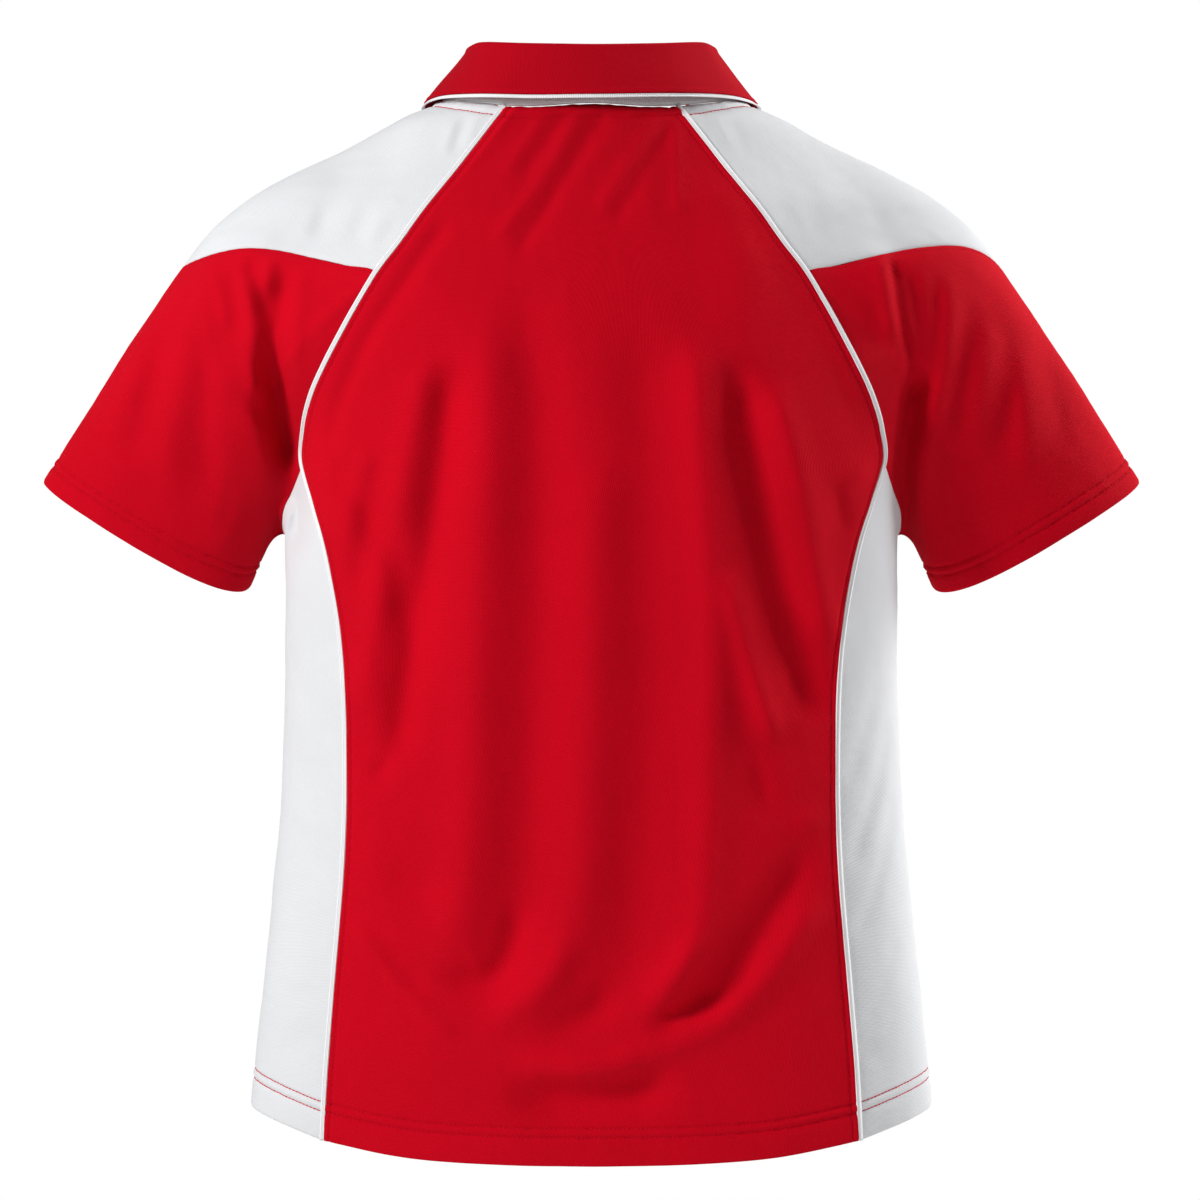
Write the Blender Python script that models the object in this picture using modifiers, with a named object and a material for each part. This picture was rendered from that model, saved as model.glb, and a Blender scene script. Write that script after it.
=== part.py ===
"""Raglan polo shirt in two colours, filled out as if worn, with nobody in it.

Metres, +Z up.  The origin is the middle of the neck opening, level with the neck seam at the
back.  The wearer faces +Y and their right side is +X, so the back of the shirt faces -Y.

One smooth form, a torso tube blended with two sleeve tubes, gives every panel its surface.
The seams are drawn on that form, each panel is a grid between its seams, and folds move the
points along the form's normals.  Both panels at a seam share its points, so they stay parallel.
"""

import math

import bmesh
import bpy
import numpy as np

# ---------------------------------------------------------------- driving sizes

CLOTH = 0.0014            # wall of a single layer of knit
HEM_CLOTH = 0.0022        # wall where the hem and cuffs are turned up
SEAM_GAP = 0.0003         # clear space between two pieces
COLLAR_CLOTH = 0.0017     # rib collar and stand
PIPING_WIDTH = 0.0038
PIPING_HEIGHT = 0.0013
PIPING_CLEARANCE = 0.0002 # more room under the piping, where the panels curl up to it
NECK_HALF_WIDTH = 0.105
NECK_HALF_DEPTH = 0.087
NECK_FORWARD = 0.011      # the neck opening sits forward of the torso's axis
NECK_ROUND_BACK = 2.6     # how square the plan of the neckline is
NECK_ROUND_FRONT = 2.0
BACK_NECK_POINT = 28.0    # degrees round the neck, 0 at the back, 180 at the front
FRONT_NECK_POINT = 130.0
SLIT_HALF_WIDTH = 0.0155
PLACKET_HALF_WIDTH = 0.0175
PLACKET_LENGTH = 0.160
PLACKET_CLEAR = 0.0006    # between the placket and the front panel
SLIT_LENGTH = 0.150
BUTTON_DIAMETER = 0.0112
BUTTON_HEIGHT = 0.0024
BUTTON_LIFT = 0.0002
BUTTON_DROPS = (0.020, 0.072, 0.124)   # from the neckline down the placket

PIPING_SECTION = (
    # side of the seam, share of the half-width across, share of the height
    (0, 1.00, 0.35), (0, 0.55, 0.90), (0, 0.00, 1.00), (1, 0.55, 0.90), (1, 1.00, 0.35),
)
BUTTON_SECTION = (
    # share of the radius, share of the height
    (0.00, 0.75), (0.62, 0.75), (0.76, 1.00), (0.92, 1.00), (1.00, 0.60), (0.90, 0.00),
    (0.00, 0.00),
)

TORSO = (
    # height, half_width, back_depth, front_depth, roundness
    (-0.740, 0.2420, 0.0955, 0.0985, 2.20),
    (-0.640, 0.2330, 0.1005, 0.1040, 2.20),
    (-0.560, 0.2245, 0.1070, 0.1120, 2.20),
    (-0.470, 0.2165, 0.1120, 0.1180, 2.20),
    (-0.380, 0.2138, 0.1165, 0.1220, 2.20),
    (-0.300, 0.2140, 0.1210, 0.1270, 2.20),
    (-0.240, 0.2160, 0.1230, 0.1270, 2.20),
    (-0.180, 0.2200, 0.1210, 0.1220, 2.20),
    (-0.120, 0.2215, 0.1140, 0.1120, 2.18),
    (-0.075, 0.1985, 0.1040, 0.0990, 2.12),
    (-0.045, 0.1700, 0.0940, 0.0890, 2.06),
    (-0.025, 0.1570, 0.0860, 0.0820, 2.02),
    (-0.010, 0.1460, 0.0800, 0.0760, 2.00),
    (+0.000, 0.1270, 0.0755, 0.0720, 2.00),
    (+0.010, 0.1030, 0.0700, 0.0680, 2.00),
    (+0.050, 0.0700, 0.0580, 0.0600, 2.00),
)

# The left sleeve is a tube round an axis from the shoulder to the cuff.
SLEEVE_ROOT = np.array((-0.2198, 0.0108, -0.1192))
SLEEVE_RUN = np.array((-0.4800, 0.1940, -0.8485))
SLEEVE_LENGTH = 0.202
CUFF_SLANT = 0.030        # how far the cuff's outer corner runs ahead, per metre across
CUFF_BACK_DROP = 0.009    # how far the cuff's back sags, most near the body
CUFF_STEPS = 720          # steps round the cuff from which its points are picked
SLEEVE = (
    # along, half_width, half_depth
    (-0.100, 0.0040, 0.004),
    (-0.080, 0.0240, 0.030),
    (-0.046, 0.0460, 0.048),
    (-0.015, 0.0600, 0.060),
    (+0.017, 0.0660, 0.062),
    (+0.060, 0.0710, 0.060),
    (+0.100, 0.0750, 0.056),
    (+0.150, 0.0790, 0.048),
    (+0.205, 0.0825, 0.041),
)
BLEND = (
    # height, how far torso and sleeve melt into each other
    (-0.350, 0.012),
    (-0.310, 0.022),
    (-0.270, 0.050),
    (-0.190, 0.080),
    (-0.120, 0.065),
    (-0.060, 0.050),
    (+0.050, 0.050),
)

# Seams of the left side, as places on the form: x, y, z.
YOKE_SIDE_BACK = (
    (-0.0940, -0.082, -0.047), (-0.1150, -0.087, -0.075), (-0.1340, -0.090, -0.102),
    (-0.1455, -0.089, -0.117),
)
ARMHOLE_BACK = (
    (-0.1455, -0.089, -0.117), (-0.1605, -0.085, -0.142), (-0.1750, -0.079, -0.169),
    (-0.1880, -0.069, -0.195), (-0.1970, -0.058, -0.222), (-0.2000, -0.052, -0.243),
)
SIDE_BACK = (
    (-0.2000, -0.052, -0.243), (-0.1936, -0.058, -0.263), (-0.1805, -0.069, -0.304),
    (-0.1700, -0.076, -0.365), (-0.1670, -0.077, -0.447), (-0.1695, -0.075, -0.528),
    (-0.1765, -0.070, -0.610), (-0.1855, -0.066, -0.707),
)
YOKE_SIDE_FRONT = (
    (-0.0960, 0.078, -0.050), (-0.1150, 0.082, -0.075), (-0.1340, 0.087, -0.102),
    (-0.1480, 0.088, -0.119),
)
ARMHOLE_FRONT = (
    (-0.1480, 0.088, -0.119), (-0.1620, 0.085, -0.145), (-0.1750, 0.080, -0.169),
    (-0.1880, 0.071, -0.195), (-0.1970, 0.061, -0.222), (-0.2000, 0.054, -0.243),
)
SIDE_FRONT = (
    (-0.2000, 0.054, -0.243), (-0.1945, 0.060, -0.263), (-0.1815, 0.073, -0.304),
    (-0.1710, 0.080, -0.365), (-0.1680, 0.080, -0.447), (-0.1705, 0.078, -0.528),
    (-0.1775, 0.073, -0.610), (-0.1860, 0.068, -0.699),
)
YOKE_SLEEVE = (
    (-0.1455, -0.089, -0.117), (-0.1775, -0.073, -0.1085), (-0.2164, -0.056, -0.0990),
    (-0.2490, -0.039, -0.0977), (-0.2680, -0.024, -0.1004), (-0.2855, 0.004, -0.1030),
    (-0.2710, 0.045, -0.1020), (-0.2490, 0.062, -0.0990), (-0.2164, 0.071, -0.0995),
    (-0.1775, 0.077, -0.1090), (-0.1480, 0.088, -0.119),
)
UNDERARM = (
    (-0.2000, 0.054, -0.243), (-0.2080, 0.049, -0.270), (-0.2150, 0.037, -0.288),
    (-0.2185, 0.020, -0.288), (-0.2160, 0.000, -0.280), (-0.2105, -0.022, -0.268),
    (-0.2055, -0.040, -0.257), (-0.2000, -0.052, -0.243),
)
HEM_BACK = ((-0.1855, -0.066, -0.707), (-0.1250, -0.085, -0.7165), (-0.0600, -0.095, -0.7200),
            (0.0, -0.097, -0.7207))
HEM_FRONT = ((-0.1860, 0.068, -0.699), (-0.1250, 0.087, -0.7030), (-0.0600, 0.097, -0.7050),
             (0.0, 0.099, -0.7055))
HEM_SIDE = ((-0.1860, 0.068, -0.699), (-0.2240, 0.040, -0.6935), (-0.2385, 0.0, -0.6900),
            (-0.2240, -0.040, -0.6950), (-0.1855, -0.066, -0.707))

# How many cells each stretch of seam has.  Neighbours share these numbers.
CELLS = dict(yoke=6, armhole=6, side=16, body=20, shoulder=14, underarm=6, sleeve=9, collar=40,
             stand=4, placket_across=4, placket_down=8)
PANEL_ROUNDS = 12         # rounds of evening out a grid
SLEEVE_ROUNDS = 25
HEM_STEPS = 400           # steps along the front hem from which its points are picked
MITRE_LIMIT = 0.35        # how sharply an inset line may turn

FOLDS_BACK = (
    # height of fold (a trough is below 0), half-width, points (x, z)
    (+0.0047, 0.0120, ((-0.111, -0.168), (-0.125, -0.245), (-0.143, -0.338), (-0.157, -0.425))),
    (-0.0085, 0.0120, ((-0.089, -0.171), (-0.099, -0.245), (-0.115, -0.338), (-0.133, -0.455))),
    (+0.0062, 0.0190, ((-0.070, -0.138), (-0.070, -0.251), (-0.078, -0.378), (-0.084, -0.512),
                       (-0.107, -0.574), (-0.123, -0.578))),
    (-0.0054, 0.0190, ((-0.043, -0.158), (-0.034, -0.272), (-0.041, -0.472), (-0.052, -0.565),
                       (-0.066, -0.590), (-0.104, -0.590))),
    (+0.0039, 0.0170, ((0.004, -0.231), (0.000, -0.392), (-0.006, -0.532), (-0.034, -0.597),
                       (-0.080, -0.620))),
    (-0.0039, 0.0190, ((0.032, -0.138), (0.039, -0.365), (0.034, -0.512), (0.014, -0.604),
                       (-0.029, -0.626))),
    (+0.0062, 0.0150, ((0.071, -0.151), (0.078, -0.285), (0.081, -0.432), (0.076, -0.552),
                       (0.032, -0.617))),
    (-0.0109, 0.0130, ((0.095, -0.171), (0.106, -0.238), (0.123, -0.318), (0.152, -0.428))),
    (+0.0047, 0.0110, ((0.127, -0.185), (0.137, -0.238), (0.153, -0.312), (0.165, -0.375))),
    (-0.0072, 0.0130, ((0.161, -0.504), (0.126, -0.540), (0.093, -0.592), (0.051, -0.621))),
    (+0.0048, 0.0120, ((0.161, -0.532), (0.126, -0.584), (0.086, -0.622), (0.032, -0.646),
                       (-0.058, -0.650))),
    (-0.0120, 0.0130, ((-0.222, -0.197), (-0.214, -0.228), (-0.211, -0.256), (-0.214, -0.283),
                       (-0.224, -0.307), (-0.235, -0.324))),
    (+0.0050, 0.0120, ((-0.242, -0.221), (-0.242, -0.269), (-0.250, -0.300))),
    (-0.0080, 0.0110, ((-0.224, -0.118), (-0.222, -0.163), (-0.220, -0.201))),
    (-0.0045, 0.0130, ((-0.295, -0.146), (-0.304, -0.180), (-0.319, -0.245))),
    (-0.0100, 0.0110, ((0.208, -0.106), (0.211, -0.152), (0.218, -0.180), (0.215, -0.207),
                       (0.212, -0.235), (0.210, -0.269), (0.213, -0.297), (0.221, -0.321))),
    (+0.0030, 0.0140, ((0.276, -0.125), (0.288, -0.159), (0.306, -0.228))),
)
FOLDS_FRONT = (
    (+0.0040, 0.0160, ((-0.090, -0.190), (-0.096, -0.300), (-0.090, -0.420), (-0.070, -0.520))),
    (-0.0060, 0.0140, ((-0.122, -0.180), (-0.134, -0.280), (-0.128, -0.380), (-0.108, -0.480))),
    (-0.0045, 0.0190, ((-0.044, -0.260), (-0.048, -0.380), (-0.036, -0.500), (-0.020, -0.600))),
    (+0.0035, 0.0170, ((0.014, -0.290), (0.020, -0.420), (0.012, -0.560))),
    (-0.0055, 0.0160, ((0.062, -0.220), (0.072, -0.340), (0.086, -0.450), (0.110, -0.560))),
    (+0.0045, 0.0130, ((0.098, -0.180), (0.112, -0.290), (0.132, -0.410))),
    (-0.0050, 0.0120, ((-0.150, -0.560), (-0.090, -0.610), (-0.020, -0.628), (0.030, -0.620))),
    (-0.0060, 0.0120, ((-0.200, -0.140), (-0.205, -0.190), (-0.210, -0.240))),
    (-0.0035, 0.0130, ((-0.262, -0.130), (-0.276, -0.190), (-0.290, -0.245))),
    (-0.0055, 0.0120, ((0.198, -0.140), (0.206, -0.190), (0.210, -0.240))),
    (-0.0035, 0.0120, ((0.256, -0.125), (0.266, -0.190), (0.282, -0.255))),
)
FOLD_FADE = 3.0           # half-widths over which a fold fades out at each end
FOLD_FADE_SHARE = 0.45    # and the most of its length

# The collar: round the neck from the back (0 degrees) to the front (180), left side.
STAND_TOP = (
    # turn, x, y, z
    (0.0, 0.0000, -0.0680, 0.0350),
    (30.0, -0.0460, -0.0590, 0.0372),
    (60.0, -0.0758, -0.0300, 0.0420),
    (90.0, -0.0828, 0.0080, 0.0430),
    (120.0, -0.0740, 0.0450, 0.0240),
    (150.0, -0.0460, 0.0760, -0.0170),
    (180.0, 0.0000, 0.0900, -0.0470),
)
LEAF_EDGE = (
    (0.0, 0.0000, -0.0880, 0.0040),
    (30.0, -0.0560, -0.0790, 0.0056),
    (60.0, -0.0985, -0.0450, 0.0092),
    (75.0, -0.1105, -0.0190, 0.0098),
    (90.0, -0.1165, 0.0080, 0.0068),
    (120.0, -0.1120, 0.0560, -0.0160),
    (150.0, -0.0900, 0.0910, -0.0700),
    (180.0, -0.0550, 0.1120, -0.1230),
)
ROLL = (
    # how the leaf turns over the stand: above its top, out from it
    (0.0014, 0.0000),
    (0.0035, 0.0006),
    (0.0043, 0.0028),
    (0.0036, 0.0050),
    (0.0010, 0.0060),
)
COLLAR_LIFT = 0.0004      # more room between the stand and the neckline
COLLAR_CLEAR = 0.0030     # between the leaf and the form
TIPPING_DROP = 0.0026     # white edge below the red leaf
FRONT_OPENING = 0.0008    # half the gap between the collar's two ends
COLLAR_FRONT_REACH = 0.090    # from the middle of the neck to the collar's ends
LEAF_SHARES = (0.25, 0.50, 0.75, 1.00)    # its rows, from the roll down to its edge
TIPPING_GAP = 0.0004      # between the leaf's edge and the tipping

COLOURS = {
    "red": (0.55, 0.004, 0.018, 1.0),
    "white": (0.80, 0.80, 0.82, 1.0),
    "button": (0.86, 0.85, 0.82, 1.0),
}


# ---------------------------------------------------------------- curves from tables

def unit(vectors):
    return vectors / (np.linalg.norm(vectors, axis=-1, keepdims=True) + 1e-12)


def smooth_table(table, column):
    """A smooth curve through one column of a table whose first column rises."""
    xs = np.array([row[0] for row in table])
    ys = np.array([row[column] for row in table])
    slope = np.diff(ys) / np.diff(xs)
    before, after = slope[:-1], slope[1:]
    same_way = before * after > 0
    total = np.where(same_way, before + after, 1.0)
    inner = np.where(same_way, 2 * before * after / total, 0.0)
    tangent = np.concatenate((slope[:1], inner, slope[-1:]))

    def value(x):
        x = np.clip(x, xs[0], xs[-1])
        i = np.clip(np.searchsorted(xs, x) - 1, 0, len(xs) - 2)
        step = xs[i + 1] - xs[i]
        s = (x - xs[i]) / step
        start = (1 - s) ** 2 * ((1 + 2 * s) * ys[i] + s * step * tangent[i])
        end = s * s * ((3 - 2 * s) * ys[i + 1] + (s - 1) * step * tangent[i + 1])
        return start + end

    return value


def spaced(points, cells):
    """The points of a dense line, moved to equal steps along it."""
    steps = np.linalg.norm(np.diff(points, axis=0), axis=1)
    along = np.concatenate(((0.0,), np.cumsum(steps)))
    wanted = np.linspace(0, along[-1], cells + 1)
    return np.stack([np.interp(wanted, along, points[:, i]) for i in range(3)], axis=1)


def spline(points, cells):
    """A smooth line through places in space (Catmull-Rom), in equal steps."""
    p = np.array(points, float)
    p = np.vstack((2 * p[0] - p[1], p, 2 * p[-1] - p[-2]))
    line = []
    for a, b, c, d in zip(p[:-3], p[1:-2], p[2:-1], p[3:]):
        for s in np.linspace(0, 1, 24, endpoint=False):
            line.append(0.5 * (2 * b + (c - a) * s + (2 * a - 5 * b + 4 * c - d) * s ** 2
                               + (3 * b - a - 3 * c + d) * s ** 3))
    line.append(p[-2])
    return spaced(np.array(line), cells)


# ---------------------------------------------------------------- the form

torso_half = smooth_table(TORSO, 1)
torso_back = smooth_table(TORSO, 2)
torso_front = smooth_table(TORSO, 3)
torso_round = smooth_table(TORSO, 4)
sleeve_half = smooth_table(SLEEVE, 1)
sleeve_deep = smooth_table(SLEEVE, 2)
blend_reach = smooth_table(BLEND, 1)

RUN = unit(SLEEVE_RUN)
ACROSS = unit(np.cross(RUN, (0.0, 1.0, 0.0)))   # towards the body
BACKWARD = np.cross(RUN, ACROSS)                # towards the back of the sleeve


def torso_radius(cx, cy, z):
    depth = np.where(cy < 0, torso_back(z), torso_front(z))
    power = torso_round(z)
    return ((np.abs(cx) / torso_half(z)) ** power + (np.abs(cy) / depth) ** power) ** (-1 / power)


def sleeve_radius(cu, cv, along):
    return 1 / np.sqrt((cu / sleeve_half(along)) ** 2 + (cv / sleeve_deep(along)) ** 2)


def torso_gap(x, y, z):
    """About how far a point lies outside the torso."""
    r = np.hypot(x, y) + 1e-9
    cx, cy = x / r, y / r
    probe = 0.002
    taper = (torso_radius(cx, cy, z + probe) - torso_radius(cx, cy, z - probe)) / (2 * probe)
    return (r - torso_radius(cx, cy, z)) / np.sqrt(1 + taper ** 2)


def sleeve_gap(along, u, v):
    """How far a point lies outside the left sleeve, whose upper end closes in the shoulder."""
    r = np.hypot(u, v) + 1e-9
    return r - sleeve_radius(u / r, v / r, along) + np.maximum(0, SLEEVE[0][0] - along)


def form(points):
    """Below 0 inside the filled-out shirt, 0 on its surface, above 0 outside."""
    torso = torso_gap(points[..., 0], points[..., 1], points[..., 2])
    left = points * np.array((-1.0, 1.0, 1.0))
    left = np.where(points[..., :1] > 0, left, points) - SLEEVE_ROOT
    sleeve = sleeve_gap(left @ RUN, left @ ACROSS, left @ BACKWARD)
    reach = blend_reach(points[..., 2])
    melt = np.maximum(reach - np.abs(torso - sleeve), 0) / reach
    return np.minimum(torso, sleeve) - melt * melt * reach / 4


def form_slope(points):
    probe = 1e-4
    slope = np.empty_like(points)
    for axis in range(3):
        step = np.zeros(3)
        step[axis] = probe
        slope[..., axis] = (form(points + step) - form(points - step)) / (2 * probe)
    return slope


def onto_form(points, rounds=8):
    """Moves points to the nearest place on the form."""
    points = np.array(points, float)
    for _ in range(rounds):
        slope = form_slope(points)
        step = form(points) / (np.sum(slope * slope, axis=-1) + 1e-9)
        points = points - slope * np.clip(step, -0.02, 0.02)[..., None]
    return points


def normals(points):
    return unit(form_slope(points))


def search(inside, outside, rounds=40):
    """Where each line from a point inside to a point outside leaves the form."""
    low = np.zeros(inside.shape[:-1])
    high = np.ones(inside.shape[:-1])
    for _ in range(rounds):
        middle = (low + high) / 2
        within = form(inside + (outside - inside) * middle[..., None]) < 0
        low = np.where(within, middle, low)
        high = np.where(within, high, middle)
    return inside + (outside - inside) * high[..., None]


def face_places(x, z, side):
    """The front (side +1) or back (-1) of the form at x, z."""
    inside = np.stack((x, 0 * x, z), axis=-1)
    outside = np.stack((x, 0 * x + side * 0.2, z), axis=-1)
    return search(inside, outside)


def neckline(turns):
    """Places on the neck seam, by the turn in degrees round the neck from the back."""
    turns = np.radians(np.asarray(turns, float))
    side, back = np.sin(turns), np.cos(turns)
    power = 2 / np.where(back > 0, NECK_ROUND_BACK, NECK_ROUND_FRONT)
    x = -NECK_HALF_WIDTH * np.sign(side) * np.abs(side) ** power
    y = NECK_FORWARD - NECK_HALF_DEPTH * np.sign(back) * np.abs(back) ** power
    low = np.stack((x, y, 0 * x - 0.15), axis=-1)
    high = np.stack((x, y, 0 * x + 0.05), axis=-1)
    return search(low, high)


# ---------------------------------------------------------------- folds

def beside_line(x, z, line):
    """Distance of each x, z from a broken line, and from there to the line's nearer end."""
    line = np.array(line)
    steps = np.hypot(*np.diff(line, axis=0).T)
    length = steps.sum()
    starts = np.cumsum(steps) - steps
    nearest = np.full(x.shape, np.inf)
    to_end = np.zeros(x.shape)
    for (x0, z0), (x1, z1), step, start in zip(line[:-1], line[1:], steps, starts):
        dx, dz = x1 - x0, z1 - z0
        s = np.clip(((x - x0) * dx + (z - z0) * dz) / step ** 2, 0, 1)
        away = np.hypot(x - x0 - s * dx, z - z0 - s * dz)
        closer = away < nearest
        nearest = np.where(closer, away, nearest)
        along = start + s * step
        to_end = np.where(closer, np.minimum(along, length - along), to_end)
    return nearest, to_end, length


def fold_offsets(points, facing):
    """How far the folds move each point of the form, straight back or straight forward."""
    offset = np.zeros(points.shape)
    for folds, side in ((FOLDS_BACK, -1), (FOLDS_FRONT, 1)):
        share = np.clip((facing[..., 1] * side - 0.05) / 0.4, 0, 1)
        for height, width, line in folds:
            away, to_end, length = beside_line(points[..., 0], points[..., 2], line)
            fading = min(FOLD_FADE * width, FOLD_FADE_SHARE * length)
            ends = np.clip(to_end / fading, 0, 1)
            fade = ends * ends * (3 - 2 * ends)
            offset[..., 1] += side * share * height * fade * np.exp(-(away / width) ** 2)
    return offset


def folded(points, out=0.0):
    """Places on the form, with the folds, moved out by a distance."""
    facing = normals(points)
    return points + fold_offsets(points, facing) + facing * out


# ---------------------------------------------------------------- seams

def seam(places, cells):
    return onto_form(spline(places, cells))


def mirrored(points):
    return points * np.array((-1.0, 1.0, 1.0))


def joined(*lines):
    """One line from several that meet end to end."""
    return np.vstack([lines[0]] + [line[1:] for line in lines[1:]])


BACK_NECK = neckline((BACK_NECK_POINT,))[0]
FRONT_NECK = neckline((FRONT_NECK_POINT,))[0]
SEAM_YOKE_BACK = seam((BACK_NECK,) + YOKE_SIDE_BACK, CELLS["yoke"])
SEAM_ARMHOLE_BACK = seam(ARMHOLE_BACK, CELLS["armhole"])
SEAM_SIDE_BACK = seam(SIDE_BACK, CELLS["side"])
SEAM_YOKE_FRONT = seam((FRONT_NECK,) + YOKE_SIDE_FRONT, CELLS["yoke"])
SEAM_ARMHOLE_FRONT = seam(ARMHOLE_FRONT, CELLS["armhole"])
SEAM_SIDE_FRONT = seam(SIDE_FRONT, CELLS["side"])
SEAM_YOKE_SLEEVE = seam(YOKE_SLEEVE, CELLS["shoulder"])
SEAM_UNDERARM = seam(UNDERARM, CELLS["underarm"])
BACK_EDGE = joined(SEAM_YOKE_BACK, SEAM_ARMHOLE_BACK, SEAM_SIDE_BACK)
FRONT_EDGE = joined(SEAM_YOKE_FRONT, SEAM_ARMHOLE_FRONT, SEAM_SIDE_FRONT)


# ---------------------------------------------------------------- grids on the form

def coons(top, bottom, left, right, across=None):
    """A grid whose four edges are the given lines; across gives each column's place, 0 to 1."""
    v = np.linspace(0, 1, len(left))[:, None, None]
    u = np.linspace(0, 1, len(top)) if across is None else across
    u = u[None, :, None]
    between_rows = (1 - v) * top[None] + v * bottom[None]
    between_columns = (1 - u) * left[:, None] + u * right[:, None]
    corners = ((1 - v) * ((1 - u) * top[0] + u * top[-1])
               + v * ((1 - u) * bottom[0] + u * bottom[-1]))
    return between_rows + between_columns - corners


def eased(grid, rounds, closed=False):
    """Evens out the inner points of a grid on the form."""
    grid = onto_form(grid)
    for _ in range(rounds):
        if closed:
            ahead = np.roll(grid[:, :-1], -1, axis=1)
            behind = np.roll(grid[:, :-1], 1, axis=1)
            ring = grid[:, :-1].copy()
            ring[1:-1] = (ahead[1:-1] + behind[1:-1] + ring[:-2] + ring[2:]) / 4
            grid = np.concatenate((ring, ring[:, :1]), axis=1)
        else:
            inner = (grid[:-2, 1:-1] + grid[2:, 1:-1] + grid[1:-1, :-2] + grid[1:-1, 2:]) / 4
            grid[1:-1, 1:-1] = inner
        grid[1:-1] = onto_form(grid[1:-1], 2)
    return grid


def face_grid(edge, top, bottom, side, across):
    """The front or back panel's grid, from its left edge to its right."""
    grid = coons(top, bottom, edge, mirrored(edge), across)
    inner = face_places(grid[1:-1, 1:-1, 0], grid[1:-1, 1:-1, 2], side)
    grid[1:-1, 1:-1] = inner
    return grid


def both_halves(half):
    """A line from the left edge to the middle, carried on to the right edge."""
    return np.vstack((half, mirrored(half[-2::-1])))


def back_grid():
    columns = CELLS["body"]
    half = columns // 2
    top = both_halves(neckline(np.linspace(BACK_NECK_POINT, 0, half + 1)))
    bottom = both_halves(seam(HEM_BACK, half))
    return face_grid(BACK_EDGE, top, bottom, -1, np.linspace(0, 1, columns + 1))


def front_grid():
    """As the back, but two columns in the middle are as wide as the placket's slit."""
    columns = CELLS["body"]
    half = columns // 2
    outer = half - 1
    slit_turn = 180 - math.degrees(math.asin(SLIT_HALF_WIDTH / NECK_HALF_WIDTH))
    turns = np.append(np.linspace(FRONT_NECK_POINT, slit_turn, outer + 1), 180)
    top = both_halves(neckline(turns))
    hem = seam(HEM_FRONT, HEM_STEPS)
    slit = int(np.argmin(np.abs(hem[:, 0] + SLIT_HALF_WIDTH)))
    bottom = both_halves(np.vstack((spaced(hem[:slit + 1], outer), hem[-1:])))
    left_half = np.append(np.linspace(0, 0.5, outer + 1), 0.5)
    across = np.append(left_half, 1 - left_half[-2::-1])
    return face_grid(FRONT_EDGE, top, bottom, 1, across)


def side_grid():
    grid = coons(SEAM_UNDERARM, seam(HEM_SIDE, CELLS["underarm"]), SEAM_SIDE_FRONT,
                 SEAM_SIDE_BACK)
    return eased(grid, PANEL_ROUNDS)


def yoke_grid():
    turns = np.linspace(BACK_NECK_POINT, FRONT_NECK_POINT, CELLS["shoulder"] + 1)
    grid = coons(neckline(turns), SEAM_YOKE_SLEEVE, SEAM_YOKE_BACK, SEAM_YOKE_FRONT)
    return eased(grid, PANEL_ROUNDS)


def cuff_line(top):
    """The cuff, with its points lined up with those of the sleeve's upper edge."""
    turns = np.linspace(0, 2 * math.pi, CUFF_STEPS + 1)
    u = sleeve_half(SLEEVE_LENGTH) * np.cos(turns)
    v = sleeve_deep(SLEEVE_LENGTH) * np.sin(turns)
    drop = np.maximum(np.sin(turns), 0) * (0.5 + 0.5 * np.cos(turns)) ** 2
    along = SLEEVE_LENGTH - CUFF_SLANT * u + CUFF_BACK_DROP * drop
    ring = SLEEVE_ROOT + (along[:, None] * RUN + u[:, None] * ACROSS + v[:, None] * BACKWARD)
    start = top[0] - SLEEVE_ROOT
    half_way = SLEEVE_LENGTH / 2
    shift = math.atan2(start @ BACKWARD / sleeve_deep(half_way),
                       start @ ACROSS / sleeve_half(half_way))
    ring = np.roll(ring[:-1], -round(shift / (2 * math.pi) * CUFF_STEPS), axis=0)
    ring = np.vstack((ring, ring[:1]))
    quarter = top[len(top) // 4] - SLEEVE_ROOT
    turning = np.cross(start, quarter) @ RUN
    ring_start, ring_quarter = ring[0] - SLEEVE_ROOT, ring[CUFF_STEPS // 8] - SLEEVE_ROOT
    if turning * (np.cross(ring_start, ring_quarter) @ RUN) < 0:
        ring = ring[::-1]
    return onto_form(spaced(ring, len(top) - 1))


def sleeve_grid():
    top = joined(SEAM_YOKE_SLEEVE, SEAM_ARMHOLE_FRONT, SEAM_UNDERARM, SEAM_ARMHOLE_BACK[::-1])
    cuff = cuff_line(top)
    v = np.linspace(0, 1, CELLS["sleeve"] + 1)[:, None, None]
    return eased((1 - v) * top[None] + v * cuff[None], SLEEVE_ROUNDS, closed=True)


# ---------------------------------------------------------------- meshes

def material(name):
    found = bpy.data.materials.get(name)
    if found:
        return found
    made = bpy.data.materials.new(name)
    made.use_nodes = True
    shader = made.node_tree.nodes["Principled BSDF"]
    shader.inputs["Base Color"].default_value = COLOURS[name]
    shader.inputs["Roughness"].default_value = 0.45 if name == "button" else 0.85
    shader.inputs["Metallic"].default_value = 0.0
    return made


def add_object(name, mesh, colour):
    piece = bpy.data.objects.new(name, mesh)
    mesh.materials.append(material(colour))
    bpy.data.collections["polo_shirt"].objects.link(piece)
    return piece


def grid_sheet(bm, points):
    """A sheet of quads through a grid of points.  Gives its vertices by row and column."""
    rows, columns = points.shape[0] - 1, points.shape[1] - 1
    made = bmesh.ops.create_grid(bm, x_segments=columns, y_segments=rows, size=1.0)
    places = [[None] * (columns + 1) for _ in range(rows + 1)]
    for vert in made["verts"]:
        column = round((vert.co.x + 1) / 2 * columns)
        row = round((vert.co.y + 1) / 2 * rows)
        vert.co = points[row, column]
        places[row][column] = vert
    return places


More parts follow.
